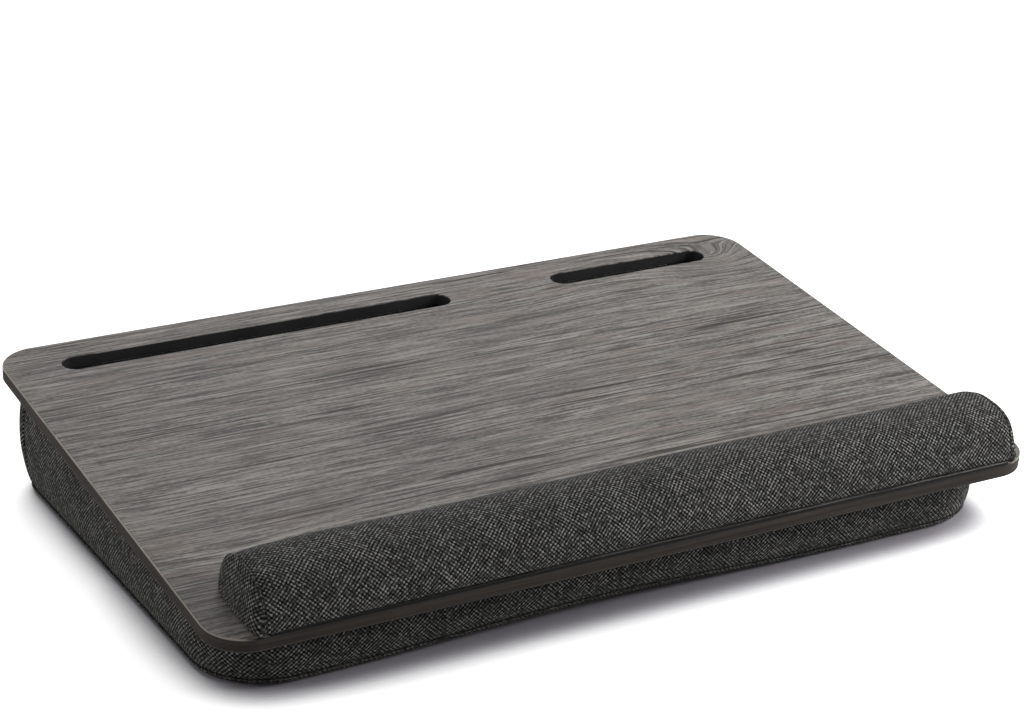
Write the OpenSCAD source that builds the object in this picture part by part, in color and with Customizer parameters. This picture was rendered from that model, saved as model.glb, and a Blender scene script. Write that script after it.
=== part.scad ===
// Cushioned laptop lap desk: a woodgrain board with two device slots and a
// fabric wrist rest, carried by a wedge cushion whose underside is arched.
// The origin is the middle of the bounding box, on the face it rests on.
// +X points right, +Y to the back and +Z up.

/* [Board] */
// Width of the board
board_w = 560; // [480:5:640]
// Depth of the board, front edge to back edge
board_d = 380; // [320:5:460]
// Radius of the board's corners
corner_r = 26; // [12:1:40]
// Thickness of the fibreboard core
core_t = 7; // [5:0.5:12]
// Thickness of the woodgrain laminate on top
laminate_t = 0.8; // [0.5:0.1:1.5]
// Thickness of the backing foil under the core
foil_t = 0.6; // [0.4:0.1:1.2]
// Thickness of the edge band
band_t = 1; // [0.6:0.1:2]
// Slope of the board, rising to the back, in degrees
board_tilt = 6; // [3:0.5:9]
// Height of the board's top face at its front edge
front_h = 48; // [42:1:70]

/* [Device slots] */
// Width of both slots, front to back
slot_w = 18.5; // [12:0.5:24]
// Middle of the slots from the board's back edge
slot_back = 31.5; // [28:0.5:50]
// Length of the phone slot on the right
phone_slot_l = 126; // [90:2:150]
// Solid board between the phone slot and the tablet slot
slot_bridge = 81; // [50:1:120]
// Outer ends of both slots from the board's side edges
slot_side = 36.5; // [28:0.5:50]
// Thickness of the black lining on the slot walls
lining_t = 0.6; // [0.4:0.1:1.5]

/* [Wrist rest] */
// End seams of the wrist rest from the board's side edges
rest_side = 23.5; // [22:0.5:90]
// Depth of the wrist rest at the board
rest_d = 62.5; // [45:0.5:80]
// Height of the wrist rest above its lower edge
rest_h = 29.5; // [20:0.5:40]
// Front of the wrist rest from the board's front edge
rest_front = 2; // [2:0.5:12]
// Sideways place of the wrist rest, which is glued on by hand
rest_shift = 4.5; // [-6:0.5:6]
// Turn of the wrist rest on the board, in degrees
rest_turn = 0.3; // [-0.5:0.1:0.5]
// How far the sewn end panels stand out past their seams at their foot
rest_end_bulge = 7; // [6:0.5:16]
// How much the cover is drawn in at the end seams
rest_draw = 1.2; // [0.5:0.1:3]
// Thickness of the stiff strip under the foam
rest_base_t = 1.5; // [1:0.1:3]
// Width of the two tapes that hold the wrist rest
rest_tape_w = 12; // [8:1:18]
// Gap between the tapes and the lower edge of the cover
rest_hem_gap = 0.9; // [0.5:0.1:1.5]

/* [Cushion] */
// Sides of the cushion from the board's side edges
cushion_side = 11.5; // [5:0.5:40]
// Front of the cushion from the board's front edge
cushion_front = 26; // [15:1:60]
// Back of the cushion from the board's back edge
cushion_back = 7; // [4:0.5:12]
// Radius of the cushion's front corners
cushion_front_r = 46; // [30:1:70]
// Radius of the cushion's back corners
cushion_back_r = 30; // [20:1:50]
// How far the side boxing bulges between its seams
side_bulge = 3.5; // [1:0.5:6]
// Height of the bottom seam above the ground
seam_h = 6; // [4:0.5:10]
// Width of the rolled lower edge inside the bottom seam
roll_w = 10; // [6:0.5:20]
// Height of the arch over the lap
arch_h = 5; // [5:0.5:14]
// Half the width of the arch
arch_half_w = 185; // [140:5:215]
// Sideways place of the arch, which the soft filling settles into
arch_shift = -25; // [-40:5:40]
// Depth of the flat cut where the cushion rests
flat_cut = 0.5; // [0.3:0.1:0.8]
// Thickness of the woven cover fabric
fabric_t = 1.2; // [0.8:0.1:2]
// Thickness of the black liner on top of the cushion
liner_t = 0.8; // [0.5:0.1:1.5]
// Thickness of the mounting tapes
tape_t = 0.6; // [0.4:0.1:1.2]
// Width of the cushion's front and side mounting tapes
tape_w = 22; // [12:1:30]
// Clearance between soft pieces that only lie against each other
soft_gap = 0.3; // [0.2:0.05:0.5]

/* [Hidden] */
$fn = 64;

// Board, in its own tilted frame: top face at 0, front edge at 0
board_t = laminate_t + core_t + foil_t;
board_back_y = board_d * cos(board_tilt) + board_t * sin(board_tilt);
core_w = board_w - 2 * band_t;
core_d = board_d - 2 * band_t;
core_r = corner_r - band_t;
slot_y = board_d - slot_back;
tablet_slot_l = board_w - 2 * slot_side - phone_slot_l - slot_bridge;
tablet_slot_x = -board_w / 2 + slot_side + tablet_slot_l / 2;
phone_slot_x = board_w / 2 - slot_side - phone_slot_l / 2;

// Wrist rest
rest_mid = rest_front + rest_d / 2;
rest_foot = tape_t + rest_base_t;
rest_lift = tape_t + rest_hem_gap;
rest_l = board_w - 2 * rest_side;
loaf_power = 2.3;
loaf_steps = 20;
foam_inset = fabric_t + soft_gap;
// Domed ends: sizes of their rings, how flat they are, and how much of the bulge
// is left at the top and at the back
dome_rings = [0.35, 0.65, 0.86, 0.96];
dome_flat = 6;
dome_top = 0.4;
dome_back = 0.5;
// The cover is drawn in over this length at each end, at these shares of it
draw_reach = 26;
draw_steps = [0, 0.12, 0.35, 0.65, 1];

// Cushion, in level coordinates measured from the board's front edge
half_w = board_w / 2 - cushion_side;
front_y = cushion_front;
back_y = board_back_y - cushion_back;
mid_y = (front_y + back_y) / 2;
corner_steps = 8;
side_steps = 5;
front_steps = 14;
box_rows = 6;
panel_cols = 26;
panel_rows = 18;
bolster_cols = 10;
pad_cols = 6;
foam_side = fabric_t + 3 * soft_gap;
// The firm wedge starts above the arch's rolled edge, and soft pads fill below it
pad_top = arch_h + seam_h + fabric_t;
// Share of the arch's half width that the middle pad covers
pad_share = 0.45;
pad_half_w = arch_half_w * pad_share;
liner_top = -board_t - tape_t;
reach = 2 * board_w;

function lerp(a, b, t) = a + (b - a) * t;

// Height of a plane parallel to the board, n above its top face, at depth y
function plane_z(y, n) = front_h + (y + n * sin(board_tilt)) * tan(board_tilt) + n * cos(board_tilt);

// Faces between row a and row b of a grid that is count points wide
function strip(a, b, count) = [
    for (j = [0:count - 2]) each [[a + j, a + j + 1, b + j + 1], [a + j, b + j + 1, b + j]]
];

// The same strip on a closed ring
function ring_strip(a, b, count) = [
    for (j = [0:count - 1]) let (k = (j + 1) % count) each [[a + j, a + k, b + k], [a + j, b + k, b + j]]
];

function flip(faces) = [for (f = faces) [f[2], f[1], f[0]]];
function flat(rows) = [for (r = rows) each r];

// A sheet with thickness, from its outer grid of points and its inner one
module thick_sheet(outer, inner) {
    rows = len(outer);
    cols = len(outer[0]);
    total = rows * cols;
    sheet = [for (i = [0:rows - 2]) each strip(i * cols, (i + 1) * cols, cols)];
    back = [for (f = flip(sheet)) [f[0] + total, f[1] + total, f[2] + total]];
    last = (rows - 1) * cols;
    rim_first = flip(strip(0, total, cols));
    rim_last = strip(last, last + total, cols);
    rim_left = [
        for (i = [0:rows - 2]) let (a = i * cols, b = a + cols)
            each [[a, b, b + total], [a, b + total, a + total]]
    ];
    rim_right = [
        for (i = [0:rows - 2]) let (a = i * cols + cols - 1, b = a + cols)
            each [[b, a, a + total], [b, a + total, b + total]]
    ];
    polyhedron(
        points = concat(flat(outer), flat(inner)),
        faces = concat(sheet, back, rim_first, rim_last, rim_left, rim_right)
    );
}

// A closed skin over a list of rings, with a pole point at each end
module skin(rings, pole_a, pole_b) {
    count = len(rings[0]);
    total = len(rings) * count;
    last = total - count;
    sides = [for (i = [0:len(rings) - 2]) each ring_strip(i * count, (i + 1) * count, count)];
    cap_a = [for (j = [0:count - 1]) [total, (j + 1) % count, j]];
    cap_b = [for (j = [0:count - 1]) [total + 1, last + j, last + (j + 1) % count]];
    polyhedron(
        points = concat(flat(rings), [pole_a, pole_b]),
        faces = concat(sides, cap_a, cap_b)
    );
}

// Board outline in its own plane, inset by i all round
module board_outline(i) {
    w = board_w - 2 * i;
    d = board_d - 2 * i;
    r = corner_r - i;
    translate([-w / 2, i + r]) square([w, d - 2 * r]);
    translate([-w / 2 + r, i]) square([w - 2 * r, d]);
    for (x = [-w / 2 + r, w / 2 - r], y = [i + r, i + d - r])
        translate([x, y]) circle(r);
}

// Slot outline with round ends, widened by i all round
module slot_outline(length, i) {
    r = slot_w / 2 + i;
    straight = length - slot_w;
    translate([-straight / 2, -r]) square([straight, 2 * r]);
    for (x = [-straight / 2, straight / 2]) translate([x, 0]) circle(r);
}

module both_slots(i) {
    translate([tablet_slot_x, slot_y]) slot_outline(tablet_slot_l, i);
    translate([phone_slot_x, slot_y]) slot_outline(phone_slot_l, i);
}

// Puts level pieces, measured from the board's front edge, into the part's frame
module level() {
    translate([0, -board_back_y / 2, 0]) children();
}

// Puts pieces made on the flat board onto its slope
module on_board() {
    level() translate([0, 0, front_h]) rotate([board_tilt, 0, 0]) children();
}

// Puts the wrist rest's pieces, made square to the board, where it is glued
module on_rest_line() {
    on_board() translate([rest_shift, rest_mid, 0]) rotate([0, 0, rest_turn]) translate([0, -rest_mid, 0]) children();
}

// A flat layer of the board between two depths, with both slots cut
module board_layer(bottom, thick, slot_grow) {
    translate([0, 0, bottom]) linear_extrude(thick) difference() {
        board_outline(band_t);
        both_slots(slot_grow);
    }
}

module board_core() {
    color("#6b5a49") on_board() board_layer(-laminate_t - core_t, core_t, lining_t);
}

module top_laminate() {
    color("#67615c") on_board() board_layer(-laminate_t, laminate_t, 0);
}

module backing_foil() {
    color("#2c2a28") on_board() board_layer(-board_t, foil_t, lining_t);
}

module edge_band() {
    color("#3d3631") on_board() translate([0, 0, -board_t]) linear_extrude(board_t) difference() {
        board_outline(0);
        board_outline(band_t);
    }
}

module slot_lining(x, length) {
    color("#0e0e0f") on_board() translate([x, slot_y, -board_t])
        linear_extrude(board_t - laminate_t) difference() {
            slot_outline(length, lining_t);
            slot_outline(length, 0);
        }
}

module tablet_slot_lining() {
    slot_lining(tablet_slot_x, tablet_slot_l);
}

module phone_slot_lining() {
    slot_lining(phone_slot_x, phone_slot_l);
}

// One point of the wrist rest's loaf section, inset by i and drawn in by draw
function loaf_point(a, i, draw) = let (
    p = 2 / loaf_power,
    half = rest_d / 2 - i - draw,
    rise = rest_h - i - draw,
    c = cos(a),
    side = sign(c) * pow(abs(c), p)
) [rest_mid - half * side, pow(sin(a), p) * rise];

// The loaf section standing at x, front edge to back edge, nowhere below low
function loaf(x, i, draw, low) = [
    for (k = [0:loaf_steps]) let (q = loaf_point(180 * k / loaf_steps, i, draw))
        [x, q[0], max(low, rest_lift + q[1])]
];

// How much the section is drawn in at a share of the way from the end seam
function draw_at(t) = rest_draw * pow(1 - t, 2);

// Stations along the wrist rest with their draw: left seam, middle, right seam
function stations() = concat(
    [for (t = draw_steps) [-rest_l / 2 + draw_reach * t, draw_at(t)]],
    [[0, 0]],
    [for (k = [len(draw_steps) - 1:-1:0]) [rest_l / 2 - draw_reach * draw_steps[k], draw_at(draw_steps[k])]]
);

module wrist_rest_cover() {
    color("#3a3a3b") on_rest_line() thick_sheet(
        [for (s = stations()) loaf(s[0], 0, s[1], rest_lift)],
        [for (s = stations()) loaf(s[0], fabric_t, s[1], rest_lift)]
    );
}

// Foot of the loaf section's middle line at x, which its ends close round
function loaf_middle(x, i) = [x, rest_mid, rest_lift + i];

// How far a ring of size t stands out at depth y and height z: nearly flat, fullest
// along the foot, leaning in to the top and rounded off to the back
function end_push(t, y, z) = let (
    up = min(1, (z - rest_lift) / rest_h),
    behind = max(0, (y - rest_mid) / (rest_d / 2))
) rest_end_bulge * sqrt(1 - pow(t, dome_flat)) * lerp(1, dome_top, up) * lerp(1, dome_back, behind * behind);

// One ring of a domed end: the section at the seam, shrunk to t and pushed out
function dome_ring(side, t, i, base) = [
    for (q = loaf(0, i, rest_draw, rest_lift + i)) let (p = lerp(loaf_middle(0, i), q, t))
        [side * (base + end_push(t, p[1], p[2])), p[1], p[2]]
];

// Rings of a domed end from its pole to just inside its seam
function dome(side, i, base) = [for (t = dome_rings) dome_ring(side, t, i, base)];

function backwards(list) = [for (k = [len(list) - 1:-1:0]) list[k]];
function turned(rings) = [for (r = rings) backwards(r)];

// Sewn end panel: a shallow dome of fabric outside the end seam
module end_panel(side) {
    seam_x = rest_l / 2 + soft_gap;
    inner_x = seam_x - fabric_t / 2;
    rims = [dome_ring(side, 1, 0, seam_x), dome_ring(side, 1, fabric_t, seam_x)];
    rings = concat(dome(side, 0, seam_x), rims, backwards(dome(side, fabric_t, inner_x)));
    color("#39393a") on_rest_line() skin(
        side > 0 ? rings : turned(rings),
        loaf_middle(side * (seam_x + rest_end_bulge), 0),
        loaf_middle(side * (inner_x + rest_end_bulge), fabric_t)
    );
}

module wrist_rest_left_end() {
    end_panel(-1);
}

module wrist_rest_right_end() {
    end_panel(1);
}

// The foam's lower edge: on its stiff strip, and above the end panels' hems
function foam_low(draw) = lerp(rest_foot, rest_lift + foam_inset, draw / rest_draw);

// Foam core: the loaf, domed at both ends, flat on its stiff strip
module wrist_rest_foam() {
    dome_x = rest_l / 2 - fabric_t / 2;
    body = [for (s = stations()) loaf(s[0], foam_inset, s[1], foam_low(s[1]))];
    rings = concat(dome(-1, foam_inset, dome_x), body, backwards(dome(1, foam_inset, dome_x)));
    color("#c9c4b6") on_rest_line() skin(
        turned(rings),
        loaf_middle(-dome_x - rest_end_bulge, foam_inset),
        loaf_middle(dome_x + rest_end_bulge, foam_inset)
    );
}

// Flat strip on the board under the wrist rest
module rest_strip(y, depth, bottom, thick, short) {
    on_rest_line() translate([-rest_l / 2 + short, y, bottom]) cube([rest_l - 2 * short, depth, thick]);
}

module wrist_rest_base() {
    edge = foam_inset + rest_draw + soft_gap;
    color("#8c8375") rest_strip(rest_front + edge, rest_d - 2 * edge, tape_t, rest_base_t, edge);
}

module wrist_rest_front_tape() {
    color("#e6e2d8") rest_strip(rest_front + rest_tape_w / 2, rest_tape_w, 0, tape_t, rest_tape_w);
}

module wrist_rest_back_tape() {
    start = rest_front + rest_d - rest_tape_w * 1.5;
    color("#e6e2d8") rest_strip(start, rest_tape_w, 0, tape_t, rest_tape_w);
}

// Cushion outline, inset by i all round
module cushion_outline(i) {
    fr = cushion_front_r - i;
    br = cushion_back_r - i;
    w = half_w - i;
    f = front_y + i;
    b = back_y - i;
    translate([-w, f + fr]) square([2 * w, b - f - fr - br]);
    translate([-w + fr, f]) square([2 * (w - fr), mid_y - f]);
    translate([-w + br, mid_y]) square([2 * (w - br), b - mid_y]);
    for (s = [-1, 1]) {
        translate([s * (w - fr), f + fr]) circle(fr);
        translate([s * (w - br), b - br]) circle(br);
    }
}

// Everything below a plane parallel to the board, n above its top face
module under_plane(n) {
    translate([0, 0, front_h]) rotate([board_tilt, 0, 0])
        translate([-reach, -reach, n - reach]) cube([2 * reach, 2 * reach, reach]);
}

module cushion_top_liner() {
    color("#17171a") level() difference() {
        intersection() {
            linear_extrude(reach) cushion_outline(foam_side);
            under_plane(liner_top);
        }
        under_plane(liner_top - liner_t);
    }
}

module wedge_foam() {
    color("#d8d2c2") level() intersection() {
        translate([0, 0, pad_top]) linear_extrude(reach) cushion_outline(foam_side);
        under_plane(liner_top - liner_t);
    }
}

// Mounting tape between the backing foil and the cushion's liner
module cushion_tape(x, y, w, d) {
    color("#e6e2d8") on_board() translate([x - w / 2, y, liner_top]) cube([w, d, tape_t]);
}

liner_front = (front_y + foam_side - board_t * sin(board_tilt)) / cos(board_tilt) + tape_w / 2;
liner_back = slot_y + slot_w / 2 + lining_t + soft_gap;
back_tape_w = (back_y - foam_side - board_t * sin(board_tilt)) / cos(board_tilt) - liner_back - tape_t;
tape_run = 2 * (half_w - max(cushion_front_r, cushion_back_r) - foam_side);
side_tape_front = front_y + cushion_front_r + tape_w;
side_tape_back = slot_y - slot_w;

module cushion_front_tape() {
    cushion_tape(0, liner_front, tape_run, tape_w);
}

module cushion_back_tape() {
    cushion_tape(0, liner_back, tape_run, back_tape_w);
}

module side_tape(side) {
    cushion_tape(side * (half_w - foam_side - tape_w), side_tape_front, tape_w, side_tape_back - side_tape_front);
}

module cushion_left_tape() {
    side_tape(-1);
}

module cushion_right_tape() {
    side_tape(1);
}

// Rise of the cushion's underside over the lap, at x from the middle
function arch(x) = let (d = abs(x - arch_shift))
    d >= arch_half_w ? 0 : arch_h * (0.5 + 0.5 * cos(180 * d / arch_half_w));

// Corner stretch of the cushion's outline: points with their outward normals
function corner(cx, cy, r, from, to) = [
    for (k = [1:corner_steps]) let (a = lerp(from, to, k / corner_steps))
        [cx + r * cos(a), cy + r * sin(a), cos(a), sin(a)]
];

// Straight stretch of the outline
function edge(x0, y0, x1, y1, steps, nx, ny) = [
    for (k = [1:steps]) [lerp(x0, x1, k / steps), lerp(y0, y1, k / steps), nx, ny]
];

// Front boxing's path: from the right back corner round the front to the left
function front_path() = let (
    fx = half_w - cushion_front_r,
    fy = front_y + cushion_front_r,
    by = back_y - cushion_back_r
) concat(
    [[half_w, by, 1, 0]],
    edge(half_w, by, half_w, fy, side_steps, 1, 0),
    corner(fx, fy, cushion_front_r, 0, -90),
    edge(fx, front_y, -fx, front_y, front_steps, 0, -1),
    corner(-fx, fy, cushion_front_r, -90, -180),
    edge(-half_w, fy, -half_w, by, side_steps, -1, 0)
);

// Back boxing's path, from the left back corner to the right one
function back_path() = let (
    bx = half_w - cushion_back_r,
    by = back_y - cushion_back_r
) concat(
    [[-half_w, by, -1, 0]],
    corner(-bx, by, cushion_back_r, 180, 90),
    edge(-bx, back_y, bx, back_y, front_steps, 0, 1),
    corner(bx, by, cushion_back_r, 90, 0)
);

// One column of the boxing at a path point, inset by i, from top to bottom seam
function box_column(p, i) = [
    for (k = [0:box_rows]) let (
        t = k / box_rows,
        out = side_bulge * sin(180 * t) - i,
        x = p[0] + p[2] * out,
        y = p[1] + p[3] * out,
        top = plane_z(y, -board_t) - soft_gap,
        low = seam_h + arch(p[0]) - flat_cut + soft_gap
    ) [x, y, lerp(top, low, t)]
];

module boxing(path) {
    color("#38383a") level() thick_sheet(
        [for (p = path) box_column(p, 0)],
        [for (p = path) box_column(p, fabric_t)]
    );
}

module front_boxing() {
    boxing(front_path());
}

module back_boxing() {
    boxing(back_path());
}

// Front and back limits of the cushion's outline at x, inset by i
function outline_front(x, i) = let (r = cushion_front_r - i, over = abs(x) - (half_w - i - r))
    front_y + i + (over > 0 ? r - sqrt(max(0, r * r - over * over)) : 0);
function outline_back(x, i) = let (r = cushion_back_r - i, over = abs(x) - (half_w - i - r))
    back_y - i - (over > 0 ? r - sqrt(max(0, r * r - over * over)) : 0);

// Distance from a point inside the outline, inset by i, to its edge
function edge_distance(x, y, i) = let (
    r = (y < mid_y ? cushion_front_r : cushion_back_r) - i,
    dx = abs(x) - (half_w - i - r),
    dy = y < mid_y ? front_y + i + r - y : y - (back_y - i - r)
) dx > 0 && dy > 0 ? r - norm([dx, dy]) : min(half_w - i - abs(x), y - front_y - i, back_y - i - y);

// Height of the underside plus lift: arched, and rolled up at the outline inset by i
function under_z(x, y, i, lift) = let (
    t = min(1, max(0, edge_distance(x, y, i)) / roll_w),
    curl = 1 - sqrt(1 - pow(1 - t, 2))
) max(0, arch(x) + lift + (seam_h - lift) * curl - flat_cut);

// Evenly rounded spacing from -1 to 1, closer together at both ends
function spread(k, count) = sin(90 * (2 * k / count - 1));

function under_row(x, i, lift) = let (f = outline_front(x, i), b = outline_back(x, i)) [
    for (k = [0:panel_rows]) let (y = lerp(f, b, 0.5 + 0.5 * spread(k, panel_rows))) [x, y, under_z(x, y, i, lift)]
];

module bottom_panel() {
    color("#343436") level() thick_sheet(
        [for (k = [0:panel_cols]) under_row(half_w * spread(k, panel_cols), 0, 0)],
        [for (k = [0:panel_cols]) under_row((half_w - fabric_t) * spread(k, panel_cols), fabric_t, fabric_t)]
    );
}

// Soft pad between the underside and the firm wedge, with its columns at xs
module soft_pad(xs) {
    low = [for (x = xs) under_row(x, foam_side, foam_inset)];
    high = [for (r = low) [for (q = r) [q[0], q[1], pad_top]]];
    color("#cfc8b6") level() {
        if (xs[0] < xs[1]) thick_sheet(low, high);
        else thick_sheet(high, low);
    }
}

module centre_pad_foam() {
    soft_pad([for (k = [0:pad_cols]) lerp(-pad_half_w, pad_half_w, k / pad_cols)]);
}

// Pad along one side, with its columns closer together towards the corners
module bolster_foam(side) {
    outer_x = half_w - foam_side;
    soft_pad([for (k = [0:bolster_cols]) side * lerp(pad_half_w, outer_x, sin(90 * k / bolster_cols))]);
}

module left_bolster_foam() {
    bolster_foam(-1);
}

module right_bolster_foam() {
    bolster_foam(1);
}

board_core();
top_laminate();
backing_foil();
edge_band();
tablet_slot_lining();
phone_slot_lining();
wrist_rest_base();
wrist_rest_foam();
wrist_rest_cover();
wrist_rest_left_end();
wrist_rest_right_end();
wrist_rest_front_tape();
wrist_rest_back_tape();
cushion_front_tape();
cushion_back_tape();
cushion_left_tape();
cushion_right_tape();
cushion_top_liner();
front_boxing();
back_boxing();
bottom_panel();
wedge_foam();
centre_pad_foam();
left_bolster_foam();
right_bolster_foam();
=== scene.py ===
"""Cushioned lap desk, dressed for the render: board, wrist rest, cushion and studio."""
import logging
import math
from dataclasses import dataclass, field
from enum import Enum
from typing import Callable, Iterable, NamedTuple, Sequence, Union

import bmesh
import bpy
from mathutils import Matrix, Vector, noise


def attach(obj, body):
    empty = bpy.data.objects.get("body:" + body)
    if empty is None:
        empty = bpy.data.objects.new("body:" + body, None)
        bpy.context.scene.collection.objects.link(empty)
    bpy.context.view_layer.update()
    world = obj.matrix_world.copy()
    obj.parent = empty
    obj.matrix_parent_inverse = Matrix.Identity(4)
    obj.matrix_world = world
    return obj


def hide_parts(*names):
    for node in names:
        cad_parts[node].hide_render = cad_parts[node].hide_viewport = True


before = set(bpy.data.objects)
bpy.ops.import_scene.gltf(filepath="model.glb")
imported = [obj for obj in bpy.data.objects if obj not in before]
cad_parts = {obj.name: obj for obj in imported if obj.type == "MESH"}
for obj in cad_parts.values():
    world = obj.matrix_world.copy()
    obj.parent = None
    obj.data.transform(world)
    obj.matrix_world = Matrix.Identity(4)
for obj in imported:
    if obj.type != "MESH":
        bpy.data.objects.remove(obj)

LOG = logging.getLogger("lap_desk")
BODY = "root"
WEAVE_MAP = "weave"

Socket = bpy.types.NodeSocket
Number = Union[float, Socket]
Colour = tuple[float, float, float, float]
Shade = Union[Colour, Socket]
Leg = tuple[float, Callable[[float], tuple[float, float, float, float]]]


class Side(Enum):
    """Left or right end of a piece, with the sign of its X."""

    LEFT = -1
    RIGHT = 1


class EndPair(NamedTuple):
    """A measure of the left end, and the same of the right end."""

    left: float
    right: float

    def at(self, x: float) -> float:
        """Measure of the end on the side of a place along the width."""
        return self.right if x > 0 else self.left


def grey(level: float, warmth: float = 0.0) -> Colour:
    """Linear grey of a level, redder and less blue by warmth."""
    return (level * (1 + warmth), level, level * (1 - warmth), 1.0)


def toned(colour: Colour, factor: float) -> Colour:
    """A colour made darker or lighter by a factor."""
    return (factor * colour[0], factor * colour[1], factor * colour[2], 1.0)


def crease(depth: float, gap: float, reach: float) -> float:
    """Depth of a crease at a gap from its seam, which fades over a reach."""
    return depth * math.exp(-gap / reach)


def lerp(first: float, last: float, share: float) -> float:
    """Value a share of the way from first to last."""
    return first + (last - first) * share


def spread(step: int, count: int) -> float:
    """Rounded spacing from -1 to 1 that is closer together at both ends."""
    return math.sin(math.pi / 2 * (2 * step / count - 1))


# ---------------------------------------------------------------- node trees


class ShaderSheet:
    """Writes the node tree of one material, a node for each call."""

    def __init__(self, name: str) -> None:
        """Start an empty material.

        Args:
            name: The material's name.
        """
        self.material = bpy.data.materials.new(name)
        self.material.use_nodes = True
        self.tree = self.material.node_tree
        self.tree.nodes.clear()

    def node(self, kind: str, **settings: object) -> bpy.types.Node:
        """Add a node.

        Args:
            kind: Blender's name for the node type.
            **settings: Properties to set on it.

        Returns:
            The new node.
        """
        made = self.tree.nodes.new(kind)
        for name, value in settings.items():
            setattr(made, name, value)
        return made

    def feed(self, socket: Socket, value: object) -> None:
        """Link a socket into an input, or set the input's own value."""
        if isinstance(value, bpy.types.NodeSocket):
            self.tree.links.new(value, socket)
        else:
            socket.default_value = value

    def math(self, operation: str, *values: Number, clamp: bool = False) -> Socket:
        """Add a Math node.

        Args:
            operation: Blender's name for the operation.
            *values: Its inputs in order, numbers or sockets.
            clamp: Keep the result between 0 and 1.

        Returns:
            The result's socket.
        """
        made = self.node("ShaderNodeMath", operation=operation, use_clamp=clamp)
        for slot, value in zip(made.inputs, values):
            self.feed(slot, value)
        return made.outputs[0]

    def times(self, first: Number, second: Number) -> Socket:
        """Product of two numbers."""
        return self.math("MULTIPLY", first, second)

    def plus(self, first: Number, second: Number) -> Socket:
        """Sum of two numbers."""
        return self.math("ADD", first, second)

    def minus(self, first: Number, second: Number) -> Socket:
        """Difference of two numbers."""
        return self.math("SUBTRACT", first, second)

    def vector(self, x: Number, y: Number, z: Number = 0.0) -> Socket:
        """Join three numbers into a vector."""
        made = self.node("ShaderNodeCombineXYZ")
        for slot, value in zip(made.inputs, (x, y, z)):
            self.feed(slot, value)
        return made.outputs[0]

    def parts(self, vector: Socket) -> tuple[Socket, Socket, Socket]:
        """Split a vector into its three numbers."""
        made = self.node("ShaderNodeSeparateXYZ")
        self.feed(made.inputs[0], vector)
        return made.outputs[0], made.outputs[1], made.outputs[2]

    def place(self, turn_x: float = 0.0) -> Socket:
        """Object coordinates, turned back by an angle about X.

        Args:
            turn_x: Angle in radians.

        Returns:
            The coordinates' socket.
        """
        source = self.node("ShaderNodeTexCoord").outputs["Object"]
        if not turn_x:
            return source
        made = self.node("ShaderNodeMapping", vector_type="POINT")
        made.inputs["Rotation"].default_value = (-turn_x, 0.0, 0.0)
        self.feed(made.inputs["Vector"], source)
        return made.outputs[0]

    def noise(self, vector: Socket, scale: float, detail: float = 2.0, rough: float = 0.5) -> Socket:
        """Add a Noise texture.

        Args:
            vector: Where it is read.
            scale: Its scale.
            detail: Its number of octaves.
            rough: How strong the finer octaves are.

        Returns:
            Its factor's socket, around 0.5.
        """
        made = self.node("ShaderNodeTexNoise", noise_dimensions="3D")
        self.feed(made.inputs["Vector"], vector)
        made.inputs["Scale"].default_value = scale
        made.inputs["Detail"].default_value = detail
        made.inputs["Roughness"].default_value = rough
        return made.outputs[0]

    def dice(self, x: Number, y: Number, salt: float = 0.0) -> Socket:
        """Random number from 0 to 1 for each whole x and y."""
        made = self.node("ShaderNodeTexWhiteNoise", noise_dimensions="3D")
        self.feed(made.inputs["Vector"], self.vector(x, y, salt))
        return made.outputs[0]

    def ramp(self, value: Number, low: float, high: float, first: float = 0.0, last: float = 1.0) -> Socket:
        """Map a value smoothly from low..high to first..last, held at both ends."""
        made = self.node("ShaderNodeMapRange", interpolation_type="SMOOTHSTEP")
        for slot, number in zip(made.inputs[:5], (value, low, high, first, last)):
            self.feed(slot, number)
        return made.outputs[0]

    def mix(self, share: Number, first: Shade, second: Shade, blend: str = "MIX") -> Socket:
        """Mix two colours.

        Args:
            share: How much of the second.
            first: The first colour.
            second: The second colour.
            blend: Blender's name for the way they mix.

        Returns:
            The colour's socket.
        """
        made = self.node("ShaderNodeMix", data_type="RGBA", blend_type=blend)
        for slot, value in zip((made.inputs[0], made.inputs[6], made.inputs[7]), (share, first, second)):
            self.feed(slot, value)
        return made.outputs[2]

    def surface(
        self,
        colour: Shade,
        roughness: Number,
        bump: Socket | None = None,
        depth: float = 0.0001,
        specular: float = 0.5,
        sheen: float = 0.0,
    ) -> bpy.types.Material:
        """Close the tree with a Principled shader.

        Args:
            colour: Base colour.
            roughness: Roughness.
            bump: Height from 0 to 1, or None for a smooth face.
            depth: Height of the bump in metres.
            specular: Specular level.
            sheen: Weight of the sheen that cloth has.

        Returns:
            The finished material.
        """
        shader = self.node("ShaderNodeBsdfPrincipled")
        self.feed(shader.inputs["Base Color"], colour)
        self.feed(shader.inputs["Roughness"], roughness)
        shader.inputs["Specular IOR Level"].default_value = specular
        if sheen:
            shader.inputs["Sheen Weight"].default_value = sheen
            shader.inputs["Sheen Roughness"].default_value = 0.5
        if bump is not None:
            relief = self.node("ShaderNodeBump")
            relief.inputs["Strength"].default_value = 1.0
            relief.inputs["Distance"].default_value = depth
            self.feed(relief.inputs["Height"], bump)
            self.feed(shader.inputs["Normal"], relief.outputs[0])
        out = self.node("ShaderNodeOutputMaterial")
        self.feed(out.inputs["Surface"], shader.outputs[0])
        return self.material


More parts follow.
